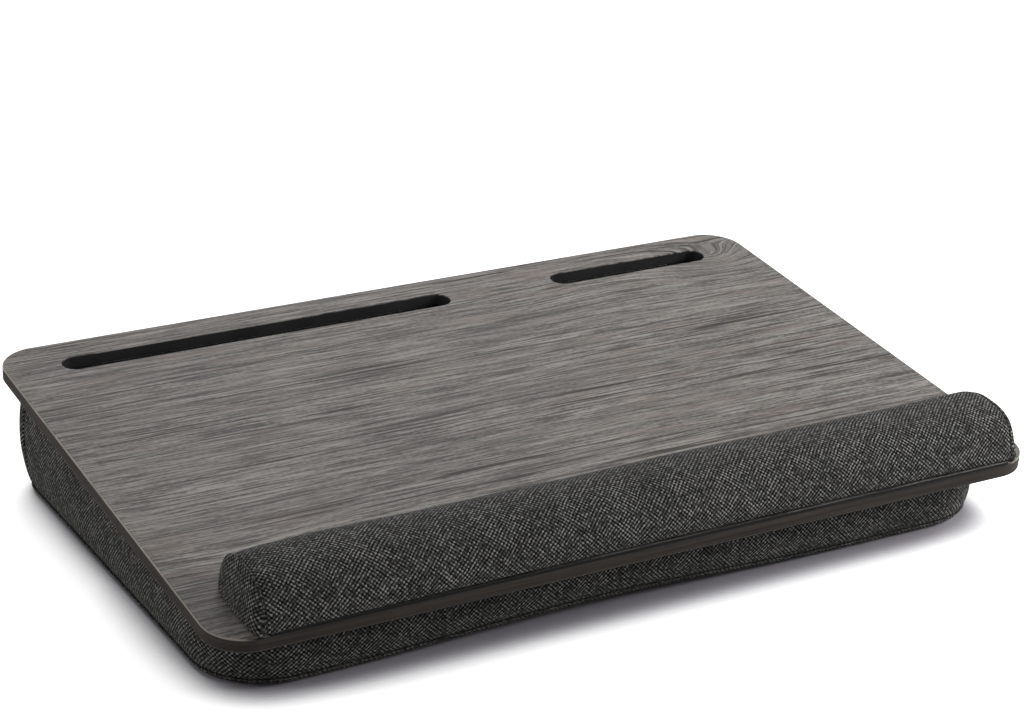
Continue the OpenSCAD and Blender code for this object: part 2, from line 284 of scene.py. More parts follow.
class GeometryTree:
    """Writes a Geometry Nodes tree with named inputs and turns it into plain meshes."""

    def __init__(self, name: str, inputs: dict[str, str]) -> None:
        """Start a tree.

        Args:
            name: The tree's name.
            inputs: Socket type of each named input after the geometry.
        """
        self.tree = bpy.data.node_groups.new(name, "GeometryNodeTree")
        face = self.tree.interface
        face.new_socket("Geometry", in_out="INPUT", socket_type="NodeSocketGeometry")
        face.new_socket("Geometry", in_out="OUTPUT", socket_type="NodeSocketGeometry")
        self.keys = {
            label: face.new_socket(label, in_out="INPUT", socket_type=kind).identifier
            for label, kind in inputs.items()
        }
        self.start = self.tree.nodes.new("NodeGroupInput")
        self.end = self.tree.nodes.new("NodeGroupOutput")

    def node(self, kind: str, feeds: dict[object, object] | None = None, **settings: object) -> bpy.types.Node:
        """Add a node.

        Args:
            kind: Blender's name for the node type.
            feeds: Sockets or values for its inputs, by name or number.
            **settings: Properties to set on it first.

        Returns:
            The new node.
        """
        made = self.tree.nodes.new(kind)
        for name, value in settings.items():
            setattr(made, name, value)
        for key, value in (feeds or {}).items():
            if isinstance(value, bpy.types.NodeSocket):
                self.tree.links.new(value, made.inputs[key])
            else:
                made.inputs[key].default_value = value
        return made

    def given(self, label: str) -> Socket:
        """Socket of a named input."""
        return self.start.outputs[label]

    def math(self, operation: str, first: Number, second: Number) -> Socket:
        """Result of a Math node on two numbers."""
        return self.node("ShaderNodeMath", {0: first, 1: second}, operation=operation).outputs[0]

    def close(self, geometry: Socket) -> None:
        """End the tree in Realize Instances and Set Material."""
        real = self.node("GeometryNodeRealizeInstances", {0: geometry})
        dressed = self.node("GeometryNodeSetMaterial", {"Geometry": real.outputs[0], "Material": self.given("Finish")})
        self.tree.links.new(dressed.outputs[0], self.end.inputs[0])

    def grow(self, host: bpy.types.Object, values: dict[str, object]) -> bpy.types.Object:
        """Run the tree on an object and keep the result as its plain mesh.

        Args:
            host: Object whose geometry goes in.
            values: Value of each named input.

        Returns:
            The same object with its new mesh.
        """
        modifier = host.modifiers.new("grow", "NODES")
        modifier.node_group = self.tree
        for label, value in values.items():
            modifier[self.keys[label]] = value
        graph = bpy.context.evaluated_depsgraph_get()
        made = bpy.data.meshes.new_from_object(host.evaluated_get(graph))
        host.modifiers.remove(modifier)
        host.data = made
        face_outwards(host)
        made.shade_smooth()
        return host


# ---------------------------------------------------------------- mesh work


def add_object(name: str, mesh: bpy.types.Mesh) -> bpy.types.Object:
    """Put a mesh into the scene as an object at the origin."""
    piece = bpy.data.objects.new(name, mesh)
    bpy.context.scene.collection.objects.link(piece)
    return piece


def path_object(name: str, points: Sequence[Vector], closed: bool = False) -> bpy.types.Object:
    """Object whose edges follow a path, as the start of a sweep.

    Args:
        name: The object's name.
        points: Points in order.
        closed: Join the last point to the first.

    Returns:
        The object.
    """
    mesh = bpy.data.meshes.new(name)
    links = [(k, k + 1) for k in range(len(points) - 1)]
    if closed:
        links.append((len(points) - 1, 0))
    mesh.from_pydata([tuple(p) for p in points], links, [])
    return add_object(name, mesh)


def face_outwards(piece: bpy.types.Object) -> None:
    """Merge doubled points and make the faces of a closed shell point outwards."""
    work = bmesh.new()
    work.from_mesh(piece.data)
    bmesh.ops.remove_doubles(work, verts=work.verts, dist=1e-6)
    bmesh.ops.recalc_face_normals(work, faces=work.faces)
    work.to_mesh(piece.data)
    work.free()


@dataclass
class ClothGrid:
    """A rectangular sheet of cloth: rows of points, and where each lies in the weave.

    Its outer side is where the way along a row, crossed with the way from row to row, points.
    """

    name: str
    rows: list[list[Vector]]
    weave: list[list[tuple[float, float]]]

    def build(self) -> bpy.types.Object:
        """Make the sheet's mesh with its weave map.

        Returns:
            The object, smooth shaded.
        """
        tall, wide = len(self.rows), len(self.rows[0])
        faces = [
            (r * wide + c, r * wide + c + 1, (r + 1) * wide + c + 1, (r + 1) * wide + c)
            for r in range(tall - 1)
            for c in range(wide - 1)
        ]
        mesh = bpy.data.meshes.new(self.name)
        mesh.from_pydata([tuple(p) for row in self.rows for p in row], [], faces)
        layer = mesh.uv_layers.new(name=WEAVE_MAP)
        flat = [spot for row in self.weave for spot in row]
        for loop in mesh.loops:
            layer.data[loop.index].uv = flat[loop.vertex_index]
        mesh.shade_smooth()
        return add_object(self.name, mesh)

    def rim(self) -> list[int]:
        """Numbers of the points on the sheet's rim, where it is sewn down."""
        tall, wide = len(self.rows), len(self.rows[0])
        kept = [r * wide + c for r in (0, tall - 1) for c in range(wide)]
        kept += [r * wide + c for r in range(tall) for c in (0, wide - 1)]
        return sorted(set(kept))


@dataclass(frozen=True)
class Swelling:
    """How stuffing pushes a sewn cover out between its seams."""

    pressure: float = 4.0
    frames: int = 20
    cap: float = 0.002

    def apply(self, piece: bpy.types.Object, held: Iterable[int]) -> None:
        """Run the cloth and keep its shape, no point moved further than the cap.

        Args:
            piece: The cover's sheet.
            held: Numbers of the points that stay where they are.
        """
        start = [v.co.copy() for v in piece.data.vertices]
        group = piece.vertex_groups.new(name="seam")
        group.add(list(held), 1.0, "REPLACE")
        cloth = piece.modifiers.new("swell", "CLOTH")
        cloth.settings.vertex_group_mass = "seam"
        cloth.settings.use_pressure = True
        cloth.settings.uniform_pressure_force = self.pressure
        cloth.settings.effector_weights.gravity = 0.0
        cloth.collision_settings.use_collision = False
        cloth.collision_settings.use_self_collision = False
        cloth.point_cache.frame_start = 1
        cloth.point_cache.frame_end = self.frames
        scene = bpy.context.scene
        for number in range(1, self.frames + 1):
            scene.frame_set(number)
        graph = bpy.context.evaluated_depsgraph_get()
        ended = [v.co.copy() for v in piece.evaluated_get(graph).data.vertices]
        piece.modifiers.remove(cloth)
        piece.vertex_groups.remove(group)
        scene.frame_set(1)
        farthest = 0.0
        for vertex, was, now in zip(piece.data.vertices, start, ended):
            move = now - was
            farthest = max(farthest, move.length)
            if move.length > self.cap:
                move *= self.cap / move.length
            vertex.co = was + move
        LOG.info("%s swelled by up to %.1f mm", piece.name, farthest * 1000)


def give_body(piece: bpy.types.Object, thickness: float) -> None:
    """Give a sheet its thickness on the inner side, then one subdivision."""
    wall = piece.modifiers.new("cloth", "SOLIDIFY")
    wall.thickness = thickness
    wall.offset = -1.0
    wall.use_even_offset = True
    soft = piece.modifiers.new("soften", "SUBSURF")
    soft.levels = soft.render_levels = 1


def hand_over(
    piece: bpy.types.Object,
    finish: bpy.types.Material,
    nodes: Sequence[str] = (),
) -> bpy.types.Object:
    """Dress a finished piece and put it on its body.

    Args:
        piece: The piece, at the origin.
        finish: Its material.
        nodes: CAD nodes that it stands for.

    Returns:
        The same piece.
    """
    piece.data.materials.clear()
    piece.data.materials.append(finish)
    if nodes:
        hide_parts(*nodes)
    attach(piece, BODY)
    LOG.info("%s: %d faces", piece.name, len(piece.data.polygons))
    return piece


def dress_node(name: str, finish: bpy.types.Material) -> None:
    """Give a CAD node that stays in view its finish."""
    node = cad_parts[name]
    if not node.material_slots:
        node.data.materials.append(finish)
    for slot in node.material_slots:
        slot.material = finish
    LOG.info("%s: CAD shape kept, finish %s", name, finish.name)


# ---------------------------------------------------------------- finishes


@dataclass(frozen=True)
class WovenCloth:
    """Coarse weave of dark yarn crossed by lighter, flecked yarn in leaning dashes."""

    name: str
    dark: Colour = grey(0.010)
    fleck: Colour = (0.262, 0.257, 0.242, 1.0)
    pitch: float = 0.00145
    relief: float = 0.00035
    sway: float = 1.6
    breaks: float = 1.3

    def dashes(self, s: ShaderSheet, place: Socket, across: Socket, along: Socket) -> Socket:
        """Where the light yarn lies on top, in dashes that lean now one way and now the other.

        Args:
            s: The material's sheet.
            place: Object coordinates.
            across: Place across the yarns, in pitches.
            along: Place along the yarns, in pitches.

        Returns:
            How much light yarn shows, from 0 to 1.
        """
        rising = s.math("COSINE", s.times(s.minus(across, along), math.pi))
        falling = s.math("COSINE", s.times(s.plus(across, along), math.pi))
        lean = s.ramp(s.noise(place, 90.0, 3.0, 0.7), 0.38, 0.62, 0.40, 0.66)
        wave = s.minus(s.times(rising, lean), s.times(falling, s.minus(1.0, lean)))
        broken = s.times(s.minus(s.noise(place, 560.0, 1.0), 0.5), self.breaks)
        return s.ramp(s.plus(wave, broken), -0.24, 0.74)

    def build(self) -> bpy.types.Material:
        """Make the material from the sheet's weave map."""
        s = ShaderSheet(self.name)
        place = s.place()
        x, y, _ = s.parts(s.node("ShaderNodeUVMap", uv_map=WEAVE_MAP).outputs[0])
        sway = s.times(s.minus(s.noise(place, 45.0, 2.0), 0.5), self.sway)
        across = s.plus(s.math("DIVIDE", x, self.pitch), sway)
        along = s.plus(s.math("DIVIDE", y, self.pitch), s.times(sway, -0.7))
        over = self.dashes(s, place, across, along)
        cell_x, cell_y = s.math("FLOOR", across), s.math("FLOOR", along)
        melange = s.ramp(s.dice(cell_x, cell_y), 0.0, 1.0, 0.30, 1.15)
        slub = s.noise(s.vector(s.times(cell_x, 0.9), s.times(along, 0.09)), 1.0, 2.0, 0.6)
        patch = s.noise(place, 38.0, 3.0, 0.6)
        tone = s.times(s.ramp(slub, 0.3, 0.7, 0.7, 1.2), s.ramp(patch, 0.3, 0.7, 0.75, 1.25))
        light = s.math("MULTIPLY", over, s.times(tone, melange), clamp=True)
        under = s.math("POWER", s.dice(cell_x, cell_y, 7.0), 2.5)
        ground = s.mix(under, toned(self.dark, 0.55), toned(self.dark, 3.6))
        colour = s.mix(light, ground, self.fleck)
        height = s.plus(over, s.times(s.noise(place, 2600.0, 2.0, 0.6), 0.25))
        roughness = s.ramp(patch, 0.2, 0.8, 0.82, 0.95)
        return s.surface(colour, roughness, height, self.relief, specular=0.08, sheen=0.02)


class Streak(NamedTuple):
    """One layer of the grain: length and width of its streaks in metres, and how it is drawn."""

    long: float
    fine: float
    salt: float
    detail: float = 2.0


class Knot(NamedTuple):
    """A place that the grain bends round, with its reach and its push in metres."""

    u: float
    v: float
    reach: float
    push: float


@dataclass(frozen=True)
class WoodgrainDecor:
    """Matt printed decor of a grey-brown wood, its grain along the board's width."""

    tilt: float
    name: str = "grey_brown_woodgrain"
    dark: Colour = (0.034, 0.030, 0.027, 1.0)
    ground: Colour = (0.148, 0.139, 0.129, 1.0)
    pale: Colour = (0.360, 0.341, 0.318, 1.0)
    rosy: Colour = (0.225, 0.178, 0.160, 1.0)
    half_depth: float = 0.19
    knots: tuple[Knot, ...] = (
        Knot(0.246, 0.350, 0.034, 0.024),
        Knot(0.150, 0.330, 0.050, -0.006),
        Knot(-0.215, 0.085, 0.040, 0.006),
    )
    broad: Streak = Streak(0.34, 0.034, 1.0)
    middle: Streak = Streak(0.120, 0.0060, 5.0, 3.0)
    fine: Streak = Streak(0.050, 0.0020, 9.0)
    hair: Streak = Streak(0.030, 0.0010, 17.0, 1.0)
    speck: Streak = Streak(0.0040, 0.0018, 71.0)
    blush: Streak = Streak(0.070, 0.0085, 31.0)
    blush_place: Streak = Streak(0.22, 0.050, 37.0, 1.0)
    bands: Streak = Streak(0.42, 0.036, 63.0, 1.0)
    lines: Streak = Streak(0.130, 0.0024, 14.0, 1.0)
    pores: Streak = Streak(0.017, 0.0015, 21.0)
    wisps: Streak = Streak(0.075, 0.0019, 44.0)
    wisp_place: Streak = Streak(0.16, 0.040, 52.0, 1.0)

    def swirl(self, s: ShaderSheet, u: Socket, v: Socket, knot: Knot) -> Socket:
        """Rounded push on the grain around one knot.

        Args:
            s: The material's sheet.
            u: Place along the board's width.
            v: Place along the board's depth.
            knot: Where it is, how far it reaches and how hard it pushes.

        Returns:
            The push in metres.
        """
        du = s.math("DIVIDE", s.minus(u, knot.u), knot.reach)
        dv = s.math("DIVIDE", s.minus(v, knot.v), knot.reach * 0.55)
        far = s.plus(s.times(du, du), s.times(dv, dv))
        return s.times(s.math("EXPONENT", s.times(far, -1.0)), knot.push)

    def grain_lines(self, s: ShaderSheet, u: Socket, v: Socket) -> Socket:
        """Place across the grain, with its slow bends, its kinks and its knots.

        Args:
            s: The material's sheet.
            u: Place along the board's width.
            v: Place along the board's depth.

        Returns:
            The place in metres.
        """
        bend = s.noise(s.vector(s.times(u, 2.6), s.times(v, 7.0), 3.1), 1.0, 2.0)
        kink = s.noise(s.vector(s.times(u, 22.0), s.times(v, 60.0), 8.4), 1.0, 2.0)
        grain = s.plus(v, s.times(bend, 0.012))
        grain = s.plus(grain, s.times(kink, 0.0016))
        for knot in self.knots:
            grain = s.plus(grain, self.swirl(s, u, v, knot))
        return grain

    def build(self) -> bpy.types.Material:
        """Make the material on the board's own plane."""
        s = ShaderSheet(self.name)
        u, v, _ = s.parts(s.place(self.tilt))
        v = s.plus(v, self.half_depth)
        grain = self.grain_lines(s, u, v)

        def drawn(streak: Streak) -> Socket:
            """Noise drawn out along the grain."""
            spot = s.vector(s.math("DIVIDE", u, streak.long), s.math("DIVIDE", grain, streak.fine), streak.salt)
            return s.noise(spot, 1.0, streak.detail, 0.6)

        def patched(layer: Streak, edge: tuple[float, float], where: Streak, limits: tuple[float, ...]) -> Socket:
            """Streaks that show more in some places than in others."""
            return s.times(s.ramp(drawn(layer), *edge), s.ramp(drawn(where), *limits))

        middle, fine, pores = drawn(self.middle), drawn(self.fine), drawn(self.pores)
        tone = s.plus(s.times(middle, 0.34), s.times(fine, 0.40))
        tone = s.plus(tone, s.times(drawn(self.hair), 0.26))
        tone = s.plus(tone, s.times(s.minus(drawn(self.speck), 0.5), 0.20))
        colour = s.mix(s.ramp(tone, 0.385, 0.625), self.dark, self.pale)
        colour = s.mix(0.10, colour, self.ground)
        colour = s.mix(s.ramp(drawn(self.broad), 0.35, 0.70, 0.0, 0.28), colour, self.ground)
        rose = patched(self.blush, (0.48, 0.62), self.blush_place, (0.44, 0.60, 0.08, 0.50))
        colour = s.mix(rose, colour, self.rosy)
        struck = patched(self.lines, (0.54, 0.64), self.bands, (0.44, 0.60, 0.22, 1.00))
        colour = s.mix(struck, colour, self.dark)
        colour = s.mix(s.ramp(pores, 0.55, 0.68, 0.0, 0.60), colour, self.dark)
        wispy = patched(self.wisps, (0.56, 0.66), self.wisp_place, (0.48, 0.60, 0.0, 0.80))
        colour = s.mix(wispy, colour, self.pale)
        height = s.minus(s.times(fine, 0.5), s.ramp(pores, 0.56, 0.72, 0.0, 0.8))
        return s.surface(colour, s.ramp(middle, 0.3, 0.7, 0.52, 0.64), height, 0.00006, specular=0.16)


@dataclass(frozen=True)
class BandedEdge:
    """Brown edge band: a painted highlight along the upper arris of its sides and back, painted shade along its front
    arris under the wrist rest, tan below.
    """

    tilt: float
    front_height: float
    thickness: float
    name: str = "brown_edge_band"
    body: Colour = (0.034, 0.0285, 0.0245, 1.0)
    tan: Colour = (0.16, 0.13, 0.105, 1.0)
    painted_arris_highlight: Colour = (0.38, 0.33, 0.29, 1.0)
    painted_arris_shade: Colour = (0.005, 0.0045, 0.0045, 1.0)
    middle: float = 0.189398
    front_line: tuple[float, float] = (-0.1818, -0.1770)
    corner_line: tuple[float, float] = (0.254, 0.266)

    def build(self) -> bpy.types.Material:
        """Make the material from the height across the band."""
        s = ShaderSheet(self.name)
        place = s.place(self.tilt)
        x, y, z = s.parts(place)
        top = s.minus(z, math.cos(self.tilt) * self.front_height + math.sin(self.tilt) * self.middle)
        drawn = s.noise(s.vector(s.times(x, 14.0), s.times(y, 14.0), s.times(z, 900.0)), 1.0, 3.0, 0.6)
        patch = s.noise(place, 55.0, 3.0, 0.6)
        patchy = s.ramp(patch, 0.25, 0.75, 0.65, 1.0)
        sides = s.math("MAXIMUM", s.ramp(y, *self.front_line), s.ramp(s.math("ABSOLUTE", x), *self.corner_line))
        arris = s.ramp(top, -0.00095, -0.00040)
        # Painted highlight: a pale line along the upper arris of the sides and back, patchy in strength.
        highlight_share = s.times(s.times(arris, sides), patchy)
        # Painted shade: black along the front arris, under the wrist rest.
        shaded = s.times(arris, s.minus(1.0, sides))
        lower = s.times(s.ramp(top, -self.thickness + 0.00085, -self.thickness + 0.00035, 0.0, 0.60), patchy)
        colour = s.mix(s.ramp(drawn, 0.3, 0.7), toned(self.body, 0.7), toned(self.body, 1.4))
        for share, line in ((lower, self.tan), (highlight_share, self.painted_arris_highlight), (shaded, self.painted_arris_shade)):
            colour = s.mix(share, colour, line)
        return s.surface(colour, s.ramp(patch, 0.2, 0.8, 0.50, 0.66), drawn, 0.00003, specular=0.18)


@dataclass(frozen=True)
class SpeckledStuff:
    """Plain sheet or foam whose colour and face are broken up by fine grain."""

    name: str
    dark: Colour
    light: Colour
    grain: float
    relief: float
    roughness: float = 0.9

    def build(self) -> bpy.types.Material:
        """Make the material from two sizes of noise."""
        s = ShaderSheet(self.name)
        place = s.place()
        fine = s.noise(place, self.grain, 3.0, 0.65)
        broad = s.noise(place, self.grain / 22.0, 2.0)
        mixed = s.plus(s.times(fine, 0.7), s.times(broad, 0.3))
        colour = s.mix(s.ramp(mixed, 0.35, 0.65), self.dark, self.light)
        roughness = s.ramp(broad, 0.2, 0.8, self.roughness - 0.08, self.roughness)
        return s.surface(colour, roughness, fine, self.relief, specular=0.3)


@dataclass(frozen=True)
class DeskFinishes:
    """Every finish of the desk, made once."""

    tilt: float
    front_height: float
    board_thickness: float
    made: dict[str, bpy.types.Material] = field(default_factory=dict)

    def build_all(self) -> None:
        """Make each material and keep it by its plain name."""
        recipes = {
            "woodgrain": WoodgrainDecor(self.tilt),
            "edge": BandedEdge(self.tilt, self.front_height, self.board_thickness),
            "cover": WovenCloth("charcoal_flecked_weave"),
            "underside": WovenCloth("underside_weave", grey(0.011), grey(0.16), relief=0.0003),
            "liner": WovenCloth("black_liner_weave", grey(0.004), grey(0.02), 0.0009, 0.00015),
            "thread": SpeckledStuff("dark_thread", grey(0.018), grey(0.045), 5000.0, 0.00004),
            # Near-black finish of the welt that paints shade at the wrist rest's front foot.
            "shade_strip": SpeckledStuff("painted_shade_strip", grey(0.002), grey(0.005), 5000.0, 0.00003),
            "fibreboard": SpeckledStuff("fibreboard", (0.25, 0.18, 0.12, 1), (0.42, 0.33, 0.24, 1), 1400.0, 0.00012),
            "foil": SpeckledStuff("dark_backing_foil", grey(0.012), grey(0.028), 700.0, 0.00003, 0.6),
            "lining": SpeckledStuff("black_slot_lining", grey(0.004), grey(0.012), 900.0, 0.00004, 0.7),
            "foam": SpeckledStuff("cream_foam", (0.58, 0.52, 0.40, 1), (0.80, 0.75, 0.63, 1), 1100.0, 0.0004),
            "strip": SpeckledStuff("grey_board_strip", (0.30, 0.25, 0.19, 1), (0.45, 0.39, 0.31, 1), 800.0, 0.00008),
            "tape": SpeckledStuff("white_tape", grey(0.62, 0.02), grey(0.76, 0.02), 500.0, 0.00005, 0.7),
        }
        for key, recipe in recipes.items():
            self.made[key] = recipe.build()

    def __getitem__(self, key: str) -> bpy.types.Material:
        """Material by its plain name."""
        return self.made[key]


# ---------------------------------------------------------------- sewing


@dataclass
class Sewing:
    """Welts and stitches that run along a seam."""

    finishes: DeskFinishes
    stitch_pitch: float = 0.0036
    stitch_length: float = 0.0026
    stitch_radius: float = 0.00022

    def __post_init__(self) -> None:
        """Write both trees once."""
        self.welt_tree = self.write_welt()
        self.stitch_tree = self.write_stitches()

    def write_welt(self) -> GeometryTree:
        """Tree that sweeps a round welt along a path and keeps its weave map."""
        tree = GeometryTree(
            "seam_welt", {"Radius": "NodeSocketFloat", "Step": "NodeSocketFloat", "Finish": "NodeSocketMaterial"}
        )
        path = tree.node("GeometryNodeMeshToCurve", {0: tree.start.outputs["Geometry"]})
        even = tree.node(
            "GeometryNodeResampleCurve", {"Curve": path.outputs[0], "Length": tree.given("Step")}, mode="LENGTH"
        )
        run = tree.node("GeometryNodeSplineParameter")
        marked = tree.node(
            "GeometryNodeStoreNamedAttribute",
            {"Geometry": even.outputs[0], "Name": "run", "Value": run.outputs["Length"]},
            data_type="FLOAT", domain="POINT",
        )
        ring = tree.node("GeometryNodeCurvePrimitiveCircle", {"Resolution": 8, "Radius": tree.given("Radius")})
        turn = tree.node("GeometryNodeSplineParameter")
        ringed = tree.node(
            "GeometryNodeStoreNamedAttribute",
            {"Geometry": ring.outputs[0], "Name": "turn", "Value": turn.outputs["Length"]},
            data_type="FLOAT", domain="POINT",
        )
        swept = tree.node(
            "GeometryNodeCurveToMesh",
            {"Curve": marked.outputs[0], "Profile Curve": ringed.outputs[0], "Fill Caps": True},
        )
        runs = tree.node("GeometryNodeInputNamedAttribute", {"Name": "run"}, data_type="FLOAT")
        turns = tree.node("GeometryNodeInputNamedAttribute", {"Name": "turn"}, data_type="FLOAT")
        spot = tree.node("ShaderNodeCombineXYZ", {0: runs.outputs[0], 1: turns.outputs[0]})
        mapped = tree.node(
            "GeometryNodeStoreNamedAttribute",
            {"Geometry": swept.outputs[0], "Name": WEAVE_MAP, "Value": spot.outputs[0]},
            data_type="FLOAT2", domain="CORNER",
        )
        tree.close(mapped.outputs[0])
        return tree

    def write_stitches(self) -> GeometryTree:
        """Tree that lays stitches end to end along a path."""
        tree = GeometryTree(
            "seam_stitches",
            {
                "Pitch": "NodeSocketFloat",
                "Length": "NodeSocketFloat",
                "Radius": "NodeSocketFloat",
                "Seed": "NodeSocketInt",
                "Finish": "NodeSocketMaterial",
            },
        )
        path = tree.node("GeometryNodeMeshToCurve", {0: tree.start.outputs["Geometry"]})
        spots = tree.node(
            "GeometryNodeCurveToPoints", {"Curve": path.outputs[0], "Length": tree.given("Pitch")}, mode="LENGTH"
        )
        thread = tree.node("GeometryNodeMeshUVSphere", {"Segments": 6, "Rings": 5, "Radius": 1.0})
        half = tree.math("MULTIPLY", tree.given("Length"), 0.5)
        size = tree.node("ShaderNodeCombineXYZ", {0: tree.given("Radius"), 1: tree.given("Radius"), 2: half})
        shaped = tree.node("GeometryNodeTransform", {"Geometry": thread.outputs[0], "Scale": size.outputs[0]})
        vary = tree.node("FunctionNodeRandomValue", {2: 0.85, 3: 1.1, "Seed": tree.given("Seed")}, data_type="FLOAT")
        laid = tree.node(
            "GeometryNodeInstanceOnPoints",
            {
                "Points": spots.outputs["Points"],
                "Instance": shaped.outputs[0],
                "Rotation": spots.outputs["Rotation"],
                "Scale": vary.outputs[1],
            },
        )
        tree.close(laid.outputs[0])
        return tree

    def welt(
        self, name: str, points: Sequence[Vector], finish: str, radius: float, closed: bool = False
    ) -> bpy.types.Object:
        """Sew a welt along a path.

        Args:
            name: The piece's name.
            points: The path.
            finish: Plain name of its finish.
            radius: Radius of the welt.
            closed: Whether the path closes on itself.

        Returns:
            The welt, riding on the desk.
        """
        piece = path_object(name, points, closed)
        self.welt_tree.grow(piece, {"Radius": radius, "Step": 0.0025, "Finish": self.finishes[finish]})
        return hand_over(piece, self.finishes[finish])

    def stitch(self, name: str, points: Sequence[Vector], closed: bool = False) -> bpy.types.Object:
        """Lay stitches along a path.

        Args:
            name: The piece's name.
            points: The path.
            closed: Whether the path closes on itself.

        Returns:
            The row of stitches, riding on the desk.
        """
        piece = path_object(name, points, closed)
        self.stitch_tree.grow(
            piece,
            {
                "Pitch": self.stitch_pitch,
                "Length": self.stitch_length,
                "Radius": self.stitch_radius,
                "Seed": 11,
                "Finish": self.finishes["thread"],
            },
        )
        return hand_over(piece, self.finishes["thread"])


# ---------------------------------------------------------------- board


@dataclass(frozen=True)
class BoardPlane:
    """The sloping plane of the board, which the wrist rest stands on."""

    tilt: float = math.radians(6.0)
    front_height: float = 0.048
    middle: float = 0.189398

    def at(self, u: float, v: float, n: float) -> Vector:
        """Place of a point u along the board, v from its front edge and n above its top face."""
        c, s = math.cos(self.tilt), math.sin(self.tilt)
        return Vector((u, v * c - n * s - self.middle, self.front_height + v * s + n * c))

    def height(self, depth: float, n: float) -> float:
        """Height of the plane n above the board's top face, at a level depth from the front edge."""
        return self.front_height + (depth + n * math.sin(self.tilt)) * math.tan(self.tilt) + n * math.cos(self.tilt)


@dataclass
class Board:
    """The board: CAD layers with their finishes, and the edge band swept round them."""

    plane: BoardPlane
    finishes: DeskFinishes
    width: float = 0.560
    depth: float = 0.380
    corner: float = 0.026
    thickness: float = 0.0084
    band: float = 0.001
    arris: float = 0.0004

    def write_band(self) -> GeometryTree:
        """Tree that sweeps the band's section round the board's outline."""
        tree = GeometryTree(
            "edge_band_sweep",
            {
                "Width": "NodeSocketFloat",
                "Depth": "NodeSocketFloat",
                "Corner": "NodeSocketFloat",
                "Band": "NodeSocketFloat",
                "Thickness": "NodeSocketFloat",
                "Arris": "NodeSocketFloat",
                "Finish": "NodeSocketMaterial",
            },
        )
        wide = tree.math("SUBTRACT", tree.given("Width"), tree.given("Band"))
        deep = tree.math("SUBTRACT", tree.given("Depth"), tree.given("Band"))
        half = tree.math("MULTIPLY", tree.given("Band"), 0.5)
        frame_line = tree.node(
            "GeometryNodeCurvePrimitiveQuadrilateral", {"Width": wide, "Height": deep}, mode="RECTANGLE"
        )
        rounded = tree.node(
            "GeometryNodeFilletCurve",
            {"Curve": frame_line.outputs[0], "Count": 20, "Radius": tree.math("SUBTRACT", tree.given("Corner"), half)},
            mode="POLY",
        )
        upright = tree.node("GeometryNodeSetCurveNormal", {"Curve": rounded.outputs[0]}, mode="Z_UP")
        section = tree.node(
            "GeometryNodeCurvePrimitiveQuadrilateral",
            {"Width": tree.given("Band"), "Height": tree.given("Thickness")},
            mode="RECTANGLE",
        )
        eased = tree.node(
            "GeometryNodeFilletCurve",
            {"Curve": section.outputs[0], "Count": 3, "Radius": tree.given("Arris")},
            mode="POLY",
        )
        swept = tree.node("GeometryNodeCurveToMesh", {"Curve": upright.outputs[0], "Profile Curve": eased.outputs[0]})
        tree.close(swept.outputs[0])
        return tree

    def build_band(self) -> bpy.types.Object:
        """Sweep the band and lay it on the slope.

        Returns:
            The band, riding on the desk.
        """
        host = path_object("edge_band_trim", [Vector((0, 0, 0)), Vector((0.01, 0, 0))])
        self.write_band().grow(
            host,
            {
                "Width": self.width,
                "Depth": self.depth,
                "Corner": self.corner,
                "Band": self.band,
                "Thickness": self.thickness,
                "Arris": self.arris,
                "Finish": self.finishes["edge"],
            },
        )
        for vertex in host.data.vertices:
            vertex.co = self.plane.at(vertex.co.x, vertex.co.y + self.depth / 2, vertex.co.z - self.thickness / 2)
        return hand_over(host, self.finishes["edge"], ["edge_band"])

    def build(self) -> None:
        """Dress the board's layers and add the band."""
        dress_node("top_laminate", self.finishes["woodgrain"])
        dress_node("board_core", self.finishes["fibreboard"])
        dress_node("backing_foil", self.finishes["foil"])
        for name in ("tablet_slot_lining", "phone_slot_lining"):
            dress_node(name, self.finishes["lining"])
        self.build_band()


# ---------------------------------------------------------------- wrist rest


